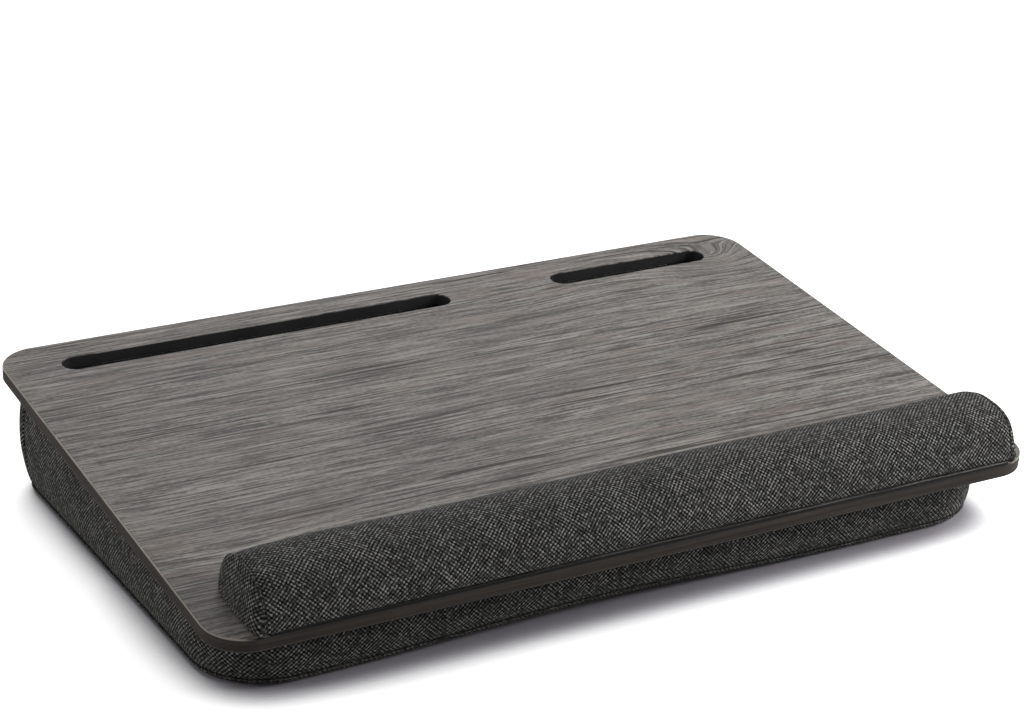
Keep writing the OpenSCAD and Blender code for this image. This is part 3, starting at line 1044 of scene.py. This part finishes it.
@dataclass
class WristRest:
    """The padded roll along the front edge, with its two sewn end panels."""

    plane: BoardPlane
    finishes: DeskFinishes
    sewing: Sewing
    length: float = 0.513
    depth: float = 0.0625
    rise: float = 0.0295
    front: float = 0.002
    lift: float = 0.0015
    shift: float = 0.0045
    turn: float = math.radians(0.3)
    fullness: float = 2.3
    front_fullness: float = 2.8
    sag: float = 0.0010
    sag_height: float = 0.016
    end_bulge: float = 0.0070
    end_tops: EndPair = EndPair(0.4, 0.80)
    end_back: float = 0.5
    draws: EndPair = EndPair(0.0012, 0.0014)
    draw_reaches: EndPair = EndPair(0.026, 0.007)
    grooves: EndPair = EndPair(0.0010, 0.0)
    groove_reach: float = 0.0016
    seam_gap: float = 0.0003
    cloth: float = 0.0012
    rows: int = 30
    column_step: float = 0.0045
    seam_step: float = 0.0022
    seam_step_growth: float = 0.00009
    tucks: tuple[tuple[float, float], ...] = ((0.0032, 0.0003), (0.0007, 0.0007))
    ripple: float = 0.00035
    ripple_length: float = 0.0105
    ripple_reach: float = 0.006
    fold_depth: float = 0.0013
    fold_spot: tuple[float, float] = (-0.243, 0.0145)
    fold_size: tuple[float, float] = (0.0075, 0.0085)
    # Size and place of the black welt of painted shade at the front foot.
    shade_strip_radius: float = 0.0006
    shade_strip_place: float = 0.0006
    shade_strip_inset: float = 0.004
    end_rings: tuple[float, ...] = (
        1.0, 0.99, 0.975, 0.955, 0.93, 0.895, 0.85, 0.79, 0.71, 0.61, 0.49, 0.36, 0.22, 0.10, 0.004,
    )
    end_columns: int = 44
    end_groove_reach: float = 0.02
    end_uneven: float = 0.0005
    skirt_columns: int = 2
    skirt_in: float = 0.0011
    skirt_drop: float = 0.0007
    tip_place: float = 0.045
    tip_height: float = 0.009
    tip_forward: float = 0.0020
    tip_drop: float = 0.0010

    def spot(self, u: float, v: float, n: float) -> Vector:
        """Place of a point of the rest, which lies a little off centre and turned on the board."""
        middle = self.front + self.depth / 2
        c, s = math.cos(self.turn), math.sin(self.turn)
        return self.plane.at(self.shift + u * c - (v - middle) * s, middle + u * s + (v - middle) * c, n)

    def section(self, turn: float, draw: float) -> tuple[float, float]:
        """Point of the loaf section, squarer at the front, where its foot sags forwards.

        Args:
            turn: Angle round the section, from 0 at the front foot to pi at the back foot.
            draw: How far the section is drawn in.

        Returns:
            Its depth from the board's front edge and its height above the board.
        """
        ahead = turn < math.pi / 2
        power = 2 / (self.front_fullness if ahead else self.fullness)
        side = math.copysign(abs(math.cos(turn)) ** power, math.cos(turn))
        half = self.depth / 2 - draw
        up = abs(math.sin(turn)) ** power * (self.rise - draw)
        low = max(0.0, 1 - up / self.sag_height) ** 2 if ahead else 0.0
        return self.front + self.depth / 2 - half * side - (self.sag + draw) * low, self.lift + up

    def drawn_in(self, u: float) -> float:
        """How far the cover is drawn in towards its end seams, at a place along it."""
        inner = min(1.0, (self.length / 2 - abs(u)) / self.draw_reaches.at(u))
        return self.draws.at(u) * (1 - inner) ** 2

    def stations(self) -> list[float]:
        """Places of the cover's columns, closer together towards the seams."""
        half = self.length / 2
        near = [half - self.seam_step * k - self.seam_step_growth * k * k for k in range(12)]
        inner = near[-1]
        count = round(2 * inner / self.column_step)
        middle = [-inner + 2 * inner * k / count for k in range(1, count)]
        return sorted([-x for x in near] + middle + near)

    def turns(self) -> list[float]:
        """Angles of the cover's rows round the section."""
        return [math.pi * (0.5 + 0.5 * spread(k, self.rows)) for k in range(self.rows + 1)]

    def wander(self, u: float, v: float, n: float) -> float:
        """Unevenness of hand-laid stuffing at a point, in metres."""
        broad = noise.noise(Vector((u * 17, v * 22, n * 22 + 3.0)))
        small = noise.noise(Vector((u * 55, v * 60, n * 60 + 9.0)))
        return 0.0006 * broad + 0.00025 * small

    def fold(self, u: float, n: float) -> float:
        """Soft hollow in the front near the left end, where the cover is drawn to its seam."""
        across = (u - self.fold_spot[0] + 0.5 * (n - 0.012)) / self.fold_size[0]
        up = (n - self.fold_spot[1]) / self.fold_size[1]
        return -self.fold_depth * math.exp(-across * across - up * up)

    def pucker(self, run: float, gap: float) -> float:
        """Small gathers beside a seam.

        Args:
            run: Distance along the seam.
            gap: Distance from the seam.

        Returns:
            How far the cloth stands out, in metres.
        """
        phase = 2.5 * noise.noise(Vector((run * 40, 0.7, 4.2)))
        wave = math.sin(2 * math.pi * run / self.ripple_length + phase)
        return crease(self.ripple, gap, self.ripple_reach) * wave * min(1.0, gap / 0.002)

    def cover_point(self, u: float, turn: float, around: float) -> Vector:
        """Point of the cover, with the stuffing's unevenness and the gathers beside its seams.

        Args:
            u: Place along the rest.
            turn: Angle round the section.
            around: Distance round the section from the front foot.

        Returns:
            The point.
        """
        v, n = self.section(turn, self.drawn_in(u))
        out = Vector((v - self.front - self.depth / 2, n - self.lift - self.rise * 0.35)).normalized()
        gap = self.length / 2 - abs(u)
        fade = min(1.0, math.sin(turn) * 3)
        push = fade * (self.wander(u, v, n) + self.pucker(around, gap)) + self.fold(u, n)
        push -= crease(self.grooves.at(u), gap, self.groove_reach)
        return self.spot(u, v + out.x * push, n + out.y * push)

    def tucked_row(self, turn: float, inwards: float, n: float) -> list[Vector]:
        """Row of the cover's edge that is folded in under its foot, at a height above the board."""
        return [self.spot(u, self.section(turn, self.drawn_in(u))[0] + inwards, n) for u in self.stations()]

    def build_cover(self) -> bpy.types.Object:
        """Make the cover as one cloth grid, sewn down all round.

        Returns:
            The cover, riding on the desk.
        """
        stations = self.stations()
        rows = [self.tucked_row(0.0, inwards, n) for inwards, n in self.tucks]
        weave = [[(u, start) for u in stations] for start in (-0.004, -0.002)]
        around = 0.0
        last: tuple[float, float] | None = None
        for turn in self.turns():
            v, n = self.section(turn, 0.0)
            if last:
                around += math.hypot(v - last[0], n - last[1])
            last = (v, n)
            rows.append([self.cover_point(u, turn, around) for u in stations])
            weave.append([(u, around) for u in stations])
        for inwards, n in reversed(self.tucks):
            rows.append(self.tucked_row(math.pi, -inwards, n))
            weave.append([(u, around + 0.002) for u in stations])
        grid = ClothGrid("wrist_rest_padded_cover", rows, weave)
        piece = grid.build()
        Swelling(cap=0.0016).apply(piece, grid.rim())
        give_body(piece, self.cloth)
        return hand_over(piece, self.finishes["cover"], ["wrist_rest_cover"])

    def seam_line(self, side: Side, out: float, lift: float = 0.0) -> list[Vector]:
        """Path of an end seam.

        Args:
            side: Which end.
            out: Distance outside the cover's last column.
            lift: Distance outside the drawn-in section.

        Returns:
            The path from the front foot to the back foot.
        """
        u = side.value * (self.length / 2 + out)
        points = []
        for k in range(41):
            v, n = self.section(math.pi * k / 40, self.draws.at(side.value) - lift)
            points.append(self.spot(u, v, n))
        return points

    def end_push(self, side: Side, share: float, v: float, n: float) -> float:
        """How far an end panel stands out past its seam: nearly flat and fullest along its foot.

        Args:
            side: Which end.
            share: Size of the ring that the point lies on, 1 at the seam.
            v: The point's depth.
            n: The point's height.

        Returns:
            The distance in metres.
        """
        up = min(1.0, max(0.0, (n - self.lift) / self.rise))
        behind = max(0.0, (v - self.front - self.depth / 2) / (self.depth / 2))
        flat = lerp(9.0, 6.0, min(1.0, 2 * up))
        round_off = math.sqrt(max(0.0, 1 - min(1.0, share) ** flat))
        upright = lerp(1, self.end_tops.at(side.value), up)
        return self.end_bulge * round_off * upright * lerp(1, self.end_back, behind * behind)

    def tip(self, share: float, v: float, n: float) -> float:
        """How much a point belongs to an end panel's low front tip, from 0 to 1.

        Args:
            share: Size of the ring that the point lies on, 1 at the seam.
            v: The point's depth.
            n: The point's height.

        Returns:
            Its share.
        """
        near = math.exp(-(((1 - share) - self.tip_place) / self.tip_place) ** 2)
        return near * max(0.0, 1 - n / self.tip_height) * (v < self.front + self.depth / 2)

    def front_shade_strip(self) -> list[Vector]:
        """Path of the black welt of painted shade along the cover's front foot, just behind the board's edge."""
        half = self.length / 2 - self.shade_strip_inset
        count = 120
        points = []
        for k in range(count + 1):
            u = lerp(-half, half, k / count)
            foot = self.spot(u, self.front, 0.0)
            points.append(self.plane.at(foot.x, self.shade_strip_place, self.shade_strip_radius + 0.0001))
        return points

    def end_point(self, side: Side, share: float, k: int) -> tuple[Vector, tuple[float, float]]:
        """Point of an end panel.

        Args:
            side: Which end.
            share: Size of the ring that the point lies on, 1 at the seam.
            k: Its column round the ring; the ones before 0 and past the last are folded under.

        Returns:
            The point, and its place on the flat cloth.
        """
        turn = math.pi * min(self.end_columns, max(0, k)) / self.end_columns
        under = max(-k, k - self.end_columns, 0)
        v, n = self.section(turn, self.draws.at(side.value))
        v, n = lerp(self.front + self.depth / 2, v, share), lerp(self.lift, n, share)
        groove = crease(self.grooves.at(side.value) / 2, 1 - share, self.end_groove_reach)
        out = self.end_push(side, share, v, n) - groove - self.skirt_in * under
        out += self.end_uneven * noise.noise(Vector((v * 60, n * 60, 5.0 * side.value))) * (1 - share)
        tip = self.tip(share, v, n)
        u = self.length / 2 + self.seam_gap + out
        height = max(0.0003, n + 0.0002 - self.tip_drop * tip - self.skirt_drop * under)
        return self.spot(side.value * u, v - self.tip_forward * tip, height), (v, n)

    def build_end(self, side: Side) -> bpy.types.Object:
        """Make one end panel: a flat facet, fuller low down, outside its seam.

        Args:
            side: Which end.

        Returns:
            The panel, riding on the desk.
        """
        rows, weave = [], []
        for share in self.end_rings:
            columns = range(-self.skirt_columns, self.end_columns + self.skirt_columns + 1)
            points = [self.end_point(side, share, k) for k in columns]
            if side is Side.RIGHT:
                points.reverse()
            rows.append([point for point, _ in points])
            weave.append([spot for _, spot in points])
        piece = ClothGrid(f"wrist_rest_{side.name.lower()}_end_panel", rows, weave).build()
        give_body(piece, self.cloth)
        return hand_over(piece, self.finishes["cover"], [f"wrist_rest_{side.name.lower()}_end"])

    def build(self) -> None:
        """Build the cover, both ends and their seams, and dress what is inside."""
        self.build_cover()
        for side in Side:
            self.build_end(side)
            label = side.name.lower()
            self.sewing.welt(f"wrist_rest_{label}_seam_welt", self.seam_line(side, 0.0003, -0.0003), "cover", 0.0004)
        # Painted shade: a black welt where the cover's foot meets the board.
        self.sewing.welt("wrist_rest_front_shade_strip", self.front_shade_strip(), "shade_strip", self.shade_strip_radius)
        dress_node("wrist_rest_foam", self.finishes["foam"])
        dress_node("wrist_rest_base", self.finishes["strip"])
        for name in ("wrist_rest_front_tape", "wrist_rest_back_tape"):
            dress_node(name, self.finishes["tape"])


# ---------------------------------------------------------------- cushion


class PathPoint(NamedTuple):
    """A point of the cushion's outline, its outward normal and how far along it lies."""

    x: float
    y: float
    nx: float
    ny: float
    run: float


@dataclass
class Cushion:
    """The wedge cushion: side walls, underside, top liner, seams and foam."""

    plane: BoardPlane
    finishes: DeskFinishes
    sewing: Sewing
    half_width: float = 0.2685
    front: float = 0.026
    back: float = 0.371796
    front_radius: float = 0.046
    back_radius: float = 0.030
    bulge: float = 0.0035
    seam_height: float = 0.006
    roll: float = 0.010
    arch_height: float = 0.0050
    arch_half_width: float = 0.185
    arch_shift: float = -0.025
    tall_bulge: float = 0.0025
    flat_cut: float = 0.0005
    soft_gap: float = 0.0003
    board_thickness: float = 0.0084
    tape: float = 0.0006
    cloth: float = 0.0012
    liner_cloth: float = 0.0008
    liner_inset: float = 0.0021
    column_step: float = 0.0042
    wall_rows: int = 16
    tall_from: float = 0.035
    low_crease: float = 0.0010
    low_crease_reach: float = 0.0012
    top_crease: float = 0.0012
    top_crease_reach: float = 0.0016
    side_crease: float = 0.0010
    side_crease_reach: float = 0.0018
    gather_depth: float = 0.0004
    gather_length: float = 0.012
    gather_reach: float = 0.006
    under_inset: float = 0.0006
    under_grid: tuple[int, int] = (104, 72)
    liner_grid: tuple[int, int] = (96, 64)

    def arch(self, x: float) -> float:
        """Rise of the underside over the lap at a place along the width."""
        away = abs(x - self.arch_shift)
        if away >= self.arch_half_width:
            return 0.0
        return self.arch_height * (0.5 + 0.5 * math.cos(math.pi * away / self.arch_half_width))

    def trace(self, legs: Sequence[Leg]) -> list[PathPoint]:
        """Walk a run of legs at even steps.

        Args:
            legs: Length of each leg, and its point and normal at a share of it.

        Returns:
            Points in order, with their distance along the path.
        """
        points: list[PathPoint] = []
        done = 0.0
        for length, at in legs:
            steps = max(2, round(length / self.column_step))
            for k in range(0 if not points else 1, steps + 1):
                points.append(PathPoint(*at(k / steps), done + length * k / steps))
            done += length
        return points

    def line(self, x0: float, y0: float, x1: float, y1: float, nx: float, ny: float) -> Leg:
        """Straight leg between two points with one normal."""
        return math.hypot(x1 - x0, y1 - y0), lambda t: (lerp(x0, x1, t), lerp(y0, y1, t), nx, ny)

    def bend(self, cx: float, cy: float, radius: float, start: float, end: float) -> Leg:
        """Round leg about a centre, from one angle to another in degrees."""

        def at(t: float) -> tuple[float, float, float, float]:
            """Point and normal at a share of the bend."""
            turn = math.radians(lerp(start, end, t))
            c, s = math.cos(turn), math.sin(turn)
            return cx + radius * c, cy + radius * s, c, s

        return abs(math.radians(end - start)) * radius, at

    def front_path(self) -> list[PathPoint]:
        """Outline from the left back corner round the front to the right one."""
        w, r = self.half_width, self.front_radius
        fx, fy, by = w - r, self.front + r, self.back - self.back_radius
        return self.trace([
            self.line(-w, by, -w, fy, -1, 0),
            self.bend(-fx, fy, r, 180, 270),
            self.line(-fx, self.front, fx, self.front, 0, -1),
            self.bend(fx, fy, r, 270, 360),
            self.line(w, fy, w, by, 1, 0),
        ])

    def back_path(self) -> list[PathPoint]:
        """Outline from the right back corner round the back to the left one."""
        w, r = self.half_width, self.back_radius
        bx, by = w - r, self.back - r
        return self.trace([
            self.bend(bx, by, r, 0, 90),
            self.line(bx, self.back, -bx, self.back, 0, 1),
            self.bend(-bx, by, r, 90, 180),
        ])

    def top_edge(self, y: float) -> float:
        """Height of the side wall's upper edge, just under the board."""
        return self.plane.height(y, -self.board_thickness) - self.soft_gap

    def seam_level(self, x: float) -> float:
        """Height of the bottom seam."""
        return self.seam_height + self.arch(x) - self.flat_cut - 0.0004

    def wander(self, run: float, z: float) -> float:
        """Unevenness of the side wall at a place along it, in metres."""
        broad = noise.noise(Vector((run * 14, z * 20, 1.7)))
        small = noise.noise(Vector((run * 45, z * 55, 6.1)))
        return 0.0008 * broad + 0.0003 * small

    def gather(self, run: float, gap: float) -> float:
        """Gathers beside the bottom seam, stronger in some places than others."""
        phase = 3.0 * noise.noise(Vector((run * 30, 2.2, 8.8)))
        strength = 0.5 + 0.9 * abs(noise.noise(Vector((run * 9, 5.5, 1.1))))
        wave = math.sin(2 * math.pi * run / self.gather_length + phase)
        return crease(self.gather_depth * strength, gap, self.gather_reach) * wave

    def column(self, p: PathPoint, ends: tuple[float, float]) -> list[Vector]:
        """One column of a side wall, from the top seam to the bottom one.

        Args:
            p: Point of the outline.
            ends: Where the wall's path starts and ends.

        Returns:
            The column's points, in the part's frame.
        """
        top, low = self.top_edge(p.y), self.seam_level(p.x)
        points = []
        for k in range(self.wall_rows + 1):
            t = 0.5 + 0.5 * spread(k, self.wall_rows)
            z = lerp(top, low, t)
            swell = math.sin(math.pi * t)
            out = (self.bulge + self.tall_bulge * max(0.0, (top - low) / self.tall_from - 1)) * swell ** 0.8
            out += swell * self.wander(p.run, z) + self.gather(p.run, z - low) * min(1.0, 4 * (1 - t))
            out -= crease(self.low_crease, z - low, self.low_crease_reach)
            out -= crease(self.top_crease, top - z, self.top_crease_reach)
            side_gap = min(p.run - ends[0], ends[1] - p.run)
            out -= crease(self.side_crease, side_gap, self.side_crease_reach)
            points.append(Vector((p.x + p.nx * out, p.y + p.ny * out - self.plane.middle, z)))
        return points

    def build_wall(self, name: str, path: list[PathPoint], node: str) -> bpy.types.Object:
        """Make one side wall as a cloth grid between its two seams.

        Args:
            name: The piece's name.
            path: The stretch of outline that it follows.
            node: CAD node that it stands for.

        Returns:
            The wall, riding on the desk.
        """
        ends = (path[0].run, path[-1].run)
        columns = [self.column(p, ends) for p in path]
        rows = [[column[k] for column in columns] for k in reversed(range(self.wall_rows + 1))]
        weave = [[(p.run, row[i].z) for i, p in enumerate(path)] for row in rows]
        grid = ClothGrid(name, rows, weave)
        piece = grid.build()
        Swelling(cap=0.0015).apply(piece, grid.rim())
        give_body(piece, self.cloth)
        return hand_over(piece, self.finishes["cover"], [node])

    def limits(self, x: float, inset: float) -> tuple[float, float]:
        """Front and back limit of the outline at x, inset all round."""
        found = []
        for radius, edge, way in ((self.front_radius, self.front, 1), (self.back_radius, self.back, -1)):
            r = radius - inset
            over = abs(x) - (self.half_width - inset - r)
            bow = r - math.sqrt(max(0.0, r * r - over * over)) if over > 0 else 0.0
            found.append(edge + way * (inset + bow))
        return found[0], found[1]

    def edge_distance(self, x: float, y: float) -> float:
        """Distance of a point inside the outline from its edge."""
        ahead = y < (self.front + self.back) / 2
        r = self.front_radius if ahead else self.back_radius
        dx = abs(x) - (self.half_width - r)
        dy = self.front + r - y if ahead else y - (self.back - r)
        if dx > 0 and dy > 0:
            return r - math.hypot(dx, dy)
        return min(self.half_width - abs(x), y - self.front, self.back - y)

    def under(self, x: float, y: float) -> float:
        """Height of the underside, arched over the lap and rolled up at the edge."""
        t = min(1.0, max(0.0, self.edge_distance(x, y)) / self.roll)
        curl = 1 - math.sqrt(1 - (1 - t) ** 2)
        rise = self.arch(x) + (self.seam_height - 0.0012) * curl - self.flat_cut
        swell = 0.0006 * (noise.noise(Vector((x * 16, y * 16, 2.0))) + 0.4) * t
        return max(0.0, rise + swell)

    def build_underside(self) -> bpy.types.Object:
        """Make the bottom panel as a cloth grid.

        Returns:
            The panel, riding on the desk.
        """
        across, along = self.under_grid
        rows, weave = [], []
        for k in range(across + 1):
            x = (self.half_width - self.under_inset) * spread(k, across)
            ahead, behind = self.limits(x, self.under_inset)
            ys = [lerp(ahead, behind, 0.5 + 0.5 * spread(j, along)) for j in range(along + 1)]
            rows.append([Vector((x, y - self.plane.middle, self.under(x, y))) for y in ys])
            weave.append([(x, y) for y in ys])
        piece = ClothGrid("cushion_underside", rows, weave).build()
        give_body(piece, self.cloth)
        return hand_over(piece, self.finishes["underside"], ["bottom_panel"])

    def build_liner(self) -> bpy.types.Object:
        """Make the black liner over the cushion's top, seen through the slots.

        Returns:
            The liner, riding on the desk.
        """
        inset = self.liner_inset
        level = -self.board_thickness - self.tape
        across, along = self.liner_grid
        rows, weave = [], []
        for k in range(across + 1):
            x = (self.half_width - inset) * spread(k, across)
            ahead, behind = self.limits(x, inset)
            ys = [lerp(behind, ahead, j / along) for j in range(along + 1)]
            sag = [0.0002 * noise.noise(Vector((x * 40, y * 40, 0.5))) for y in ys]
            rows.append([
                Vector((x, y - self.plane.middle, self.plane.height(y, level) - 0.0002 - s)) for y, s in zip(ys, sag)
            ])
            weave.append([(x, y) for y in ys])
        piece = ClothGrid("cushion_top_liner_cloth", rows, weave).build()
        give_body(piece, self.liner_cloth - 0.0003)
        hand_over(piece, self.finishes["liner"], ["cushion_top_liner"])
        return piece

    def seam_points(self, out: float, lift: float) -> list[Vector]:
        """Closed path of the bottom seam, out from the outline and lifted."""
        path = self.front_path() + self.back_path()[1:-1]
        return [
            Vector((p.x + p.nx * out, p.y + p.ny * out - self.plane.middle, self.seam_level(p.x) + lift)) for p in path
        ]

    def corner_seam(self, side: Side) -> list[Vector]:
        """Path of the upright seam where the two side walls meet."""
        y = self.back - self.back_radius
        top, low = self.top_edge(y) - 0.002, self.seam_level(self.half_width) + 0.002
        points = []
        for k in range(25):
            t = k / 24
            out = self.bulge * math.sin(math.pi * (0.03 + 0.94 * t)) ** 0.8 - 0.0006
            points.append(Vector((side.value * (self.half_width + out), y - self.plane.middle, lerp(top, low, t))))
        return points

    def build(self) -> None:
        """Build the walls, underside, liner and seams, and dress the foam inside."""
        self.build_wall("cushion_front_wall", self.front_path(), "front_boxing")
        self.build_wall("cushion_back_wall", self.back_path(), "back_boxing")
        self.build_underside()
        self.build_liner()
        self.sewing.welt("cushion_seam_bead", self.seam_points(-0.0003, -0.0010), "cover", 0.0006, closed=True)
        self.sewing.stitch("cushion_seam_stitches", self.seam_points(-0.0006, 0.0003), closed=True)
        for side in Side:
            self.sewing.stitch(f"cushion_{side.name.lower()}_corner_stitches", self.corner_seam(side))
        for name in ("wedge_foam", "centre_pad_foam", "left_bolster_foam", "right_bolster_foam"):
            dress_node(name, self.finishes["foam"])
        for name in ("cushion_front_tape", "cushion_back_tape", "cushion_left_tape", "cushion_right_tape"):
            dress_node(name, self.finishes["tape"])


# ---------------------------------------------------------------- studio


@dataclass(frozen=True)
class SoftLamp:
    """A square area lamp aimed at a point."""

    name: str
    place: tuple[float, float, float]
    aim: tuple[float, float, float]
    size: float
    watts: float

    def hang(self) -> None:
        """Add the lamp to the scene."""
        data = bpy.data.lights.new(self.name, "AREA")
        data.shape = "SQUARE"
        data.size = self.size
        data.energy = self.watts
        lamp = bpy.data.objects.new(self.name, data)
        lamp.location = self.place
        lamp.rotation_euler = (Vector(self.aim) - Vector(self.place)).to_track_quat("-Z", "Y").to_euler()
        bpy.context.scene.collection.objects.link(lamp)


@dataclass(frozen=True)
class Studio:
    """Pale floor, white surroundings, soft lamps and the camera."""

    floor_level: float = -0.0002
    floor_reach: float = 8.0
    floor_colour: Colour = (0.86, 0.86, 0.87, 1.0)
    shade_colour: Colour = (0.34, 0.32, 0.36, 1.0)
    floor_glow: float = 0.80
    bounce_colour: Colour = (0.62, 0.62, 0.63, 1.0)
    shade_reach: float = 0.060
    sky: float = 0.26
    lamps: tuple[SoftLamp, ...] = (
        SoftLamp("key_lamp", (1.15, -0.62, 0.62), (0.10, -0.05, 0.04), 0.6, 19.0),
        SoftLamp("back_lamp", (0.55, 1.30, 1.30), (0.05, 0.05, 0.06), 0.9, 8.0),
        SoftLamp("left_lamp", (-1.30, 0.30, 0.46), (-0.15, 0.00, 0.04), 0.6, 4.2),
    )
    eye: tuple[float, float, float] = (-0.75345, -1.39570, 0.71863)
    forward: tuple[float, float, float] = (0.471820, 0.803115, -0.363860)
    right: tuple[float, float, float] = (0.865814, -0.500002, 0.019100)
    focal_pixels: float = 2663.07
    optical_centre: float = 600.0
    picture_width: float = 1024.0

    def lay_floor(self) -> None:
        """Lay the floor, white to the camera where nothing shades it, with painted shade near the desk from ambient
        occlusion.
        """
        s = ShaderSheet("pale_floor")
        matt = s.node("ShaderNodeBsdfDiffuse")
        matt.inputs["Color"].default_value = self.bounce_colour
        # Painted shade: ambient occlusion darkens the floor's colour and dims its glow close to the desk.
        near = s.node("ShaderNodeAmbientOcclusion", samples=32)
        near.inputs["Distance"].default_value = self.shade_reach
        open_sky = near.outputs["AO"]
        seen_matt = s.node("ShaderNodeBsdfDiffuse")
        s.feed(seen_matt.inputs["Color"], s.mix(s.ramp(open_sky, 0.30, 0.62), self.shade_colour, self.floor_colour))
        glow = s.node("ShaderNodeEmission")
        s.feed(glow.inputs["Strength"], s.ramp(open_sky, 0.31, 0.75, 0.0, self.floor_glow))
        both = s.node("ShaderNodeAddShader")
        s.feed(both.inputs[0], seen_matt.outputs[0])
        s.feed(both.inputs[1], glow.outputs[0])
        seen = s.node("ShaderNodeLightPath").outputs["Is Camera Ray"]
        pick = s.node("ShaderNodeMixShader")
        s.feed(pick.inputs[0], seen)
        s.feed(pick.inputs[1], matt.outputs[0])
        s.feed(pick.inputs[2], both.outputs[0])
        s.feed(s.node("ShaderNodeOutputMaterial").inputs["Surface"], pick.outputs[0])
        mesh = bpy.data.meshes.new("floor")
        far, z = self.floor_reach, self.floor_level
        mesh.from_pydata([(-far, -far, z), (far, -far, z), (far, far, z), (-far, far, z)], [], [(0, 1, 2, 3)])
        mesh.materials.append(s.material)
        add_object("floor", mesh)

    def light_world(self) -> None:
        """Light the scene from a soft white surround that the camera sees as white."""
        world = bpy.data.worlds.new("white_surround")
        world.use_nodes = True
        tree = world.node_tree
        tree.nodes.clear()
        ways = tree.nodes.new("ShaderNodeLightPath")
        top = None
        for name in ("Is Camera Ray", "Is Glossy Ray", "Is Transmission Ray"):
            if top is None:
                top = ways.outputs[name]
                continue
            larger = tree.nodes.new("ShaderNodeMath")
            larger.operation = "MAXIMUM"
            tree.links.new(top, larger.inputs[0])
            tree.links.new(ways.outputs[name], larger.inputs[1])
            top = larger.outputs[0]
        soft, plain = tree.nodes.new("ShaderNodeBackground"), tree.nodes.new("ShaderNodeBackground")
        soft.inputs["Color"].default_value = (1, 1, 1, 1)
        soft.inputs["Strength"].default_value = self.sky
        plain.inputs["Color"].default_value = (1, 1, 1, 1)
        plain.inputs["Strength"].default_value = 1.0
        pick = tree.nodes.new("ShaderNodeMixShader")
        tree.links.new(top, pick.inputs[0])
        tree.links.new(soft.outputs[0], pick.inputs[1])
        tree.links.new(plain.outputs[0], pick.inputs[2])
        out = tree.nodes.new("ShaderNodeOutputWorld")
        tree.links.new(pick.outputs[0], out.inputs["Surface"])
        bpy.context.scene.world = world

    def set_camera(self) -> None:
        """Stand the camera where the photograph was taken from."""
        data = bpy.data.cameras.new("camera")
        data.sensor_fit = "HORIZONTAL"
        data.sensor_width = 36.0
        data.lens = 36.0 * self.focal_pixels / self.picture_width
        data.shift_x = 0.5 - self.optical_centre / self.picture_width
        data.clip_start, data.clip_end = 0.05, 60.0
        camera = bpy.data.objects.new("camera", data)
        ahead, right = Vector(self.forward).normalized(), Vector(self.right).normalized()
        up = right.cross(ahead)
        turn = Matrix((right, up, -ahead)).transposed()
        camera.matrix_world = Matrix.Translation(self.eye) @ turn.to_4x4()
        bpy.context.scene.collection.objects.link(camera)
        bpy.context.scene.camera = camera

    def build(self) -> None:
        """Set up floor, surround, lamps and camera."""
        self.lay_floor()
        self.light_world()
        for lamp in self.lamps:
            lamp.hang()
        self.set_camera()
        bpy.context.scene.view_settings.view_transform = "Standard"


def main() -> None:
    """Build the studio and the desk, piece by piece."""
    logging.basicConfig(level=logging.INFO, format="%(name)s: %(message)s")
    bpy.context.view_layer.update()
    Studio().build()
    plane = BoardPlane()
    finishes = DeskFinishes(plane.tilt, plane.front_height, Board.thickness)
    finishes.build_all()
    sewing = Sewing(finishes)
    Board(plane, finishes).build()
    WristRest(plane, finishes, sewing).build()
    Cushion(plane, finishes, sewing).build()


if __name__ == "__main__":
    main()
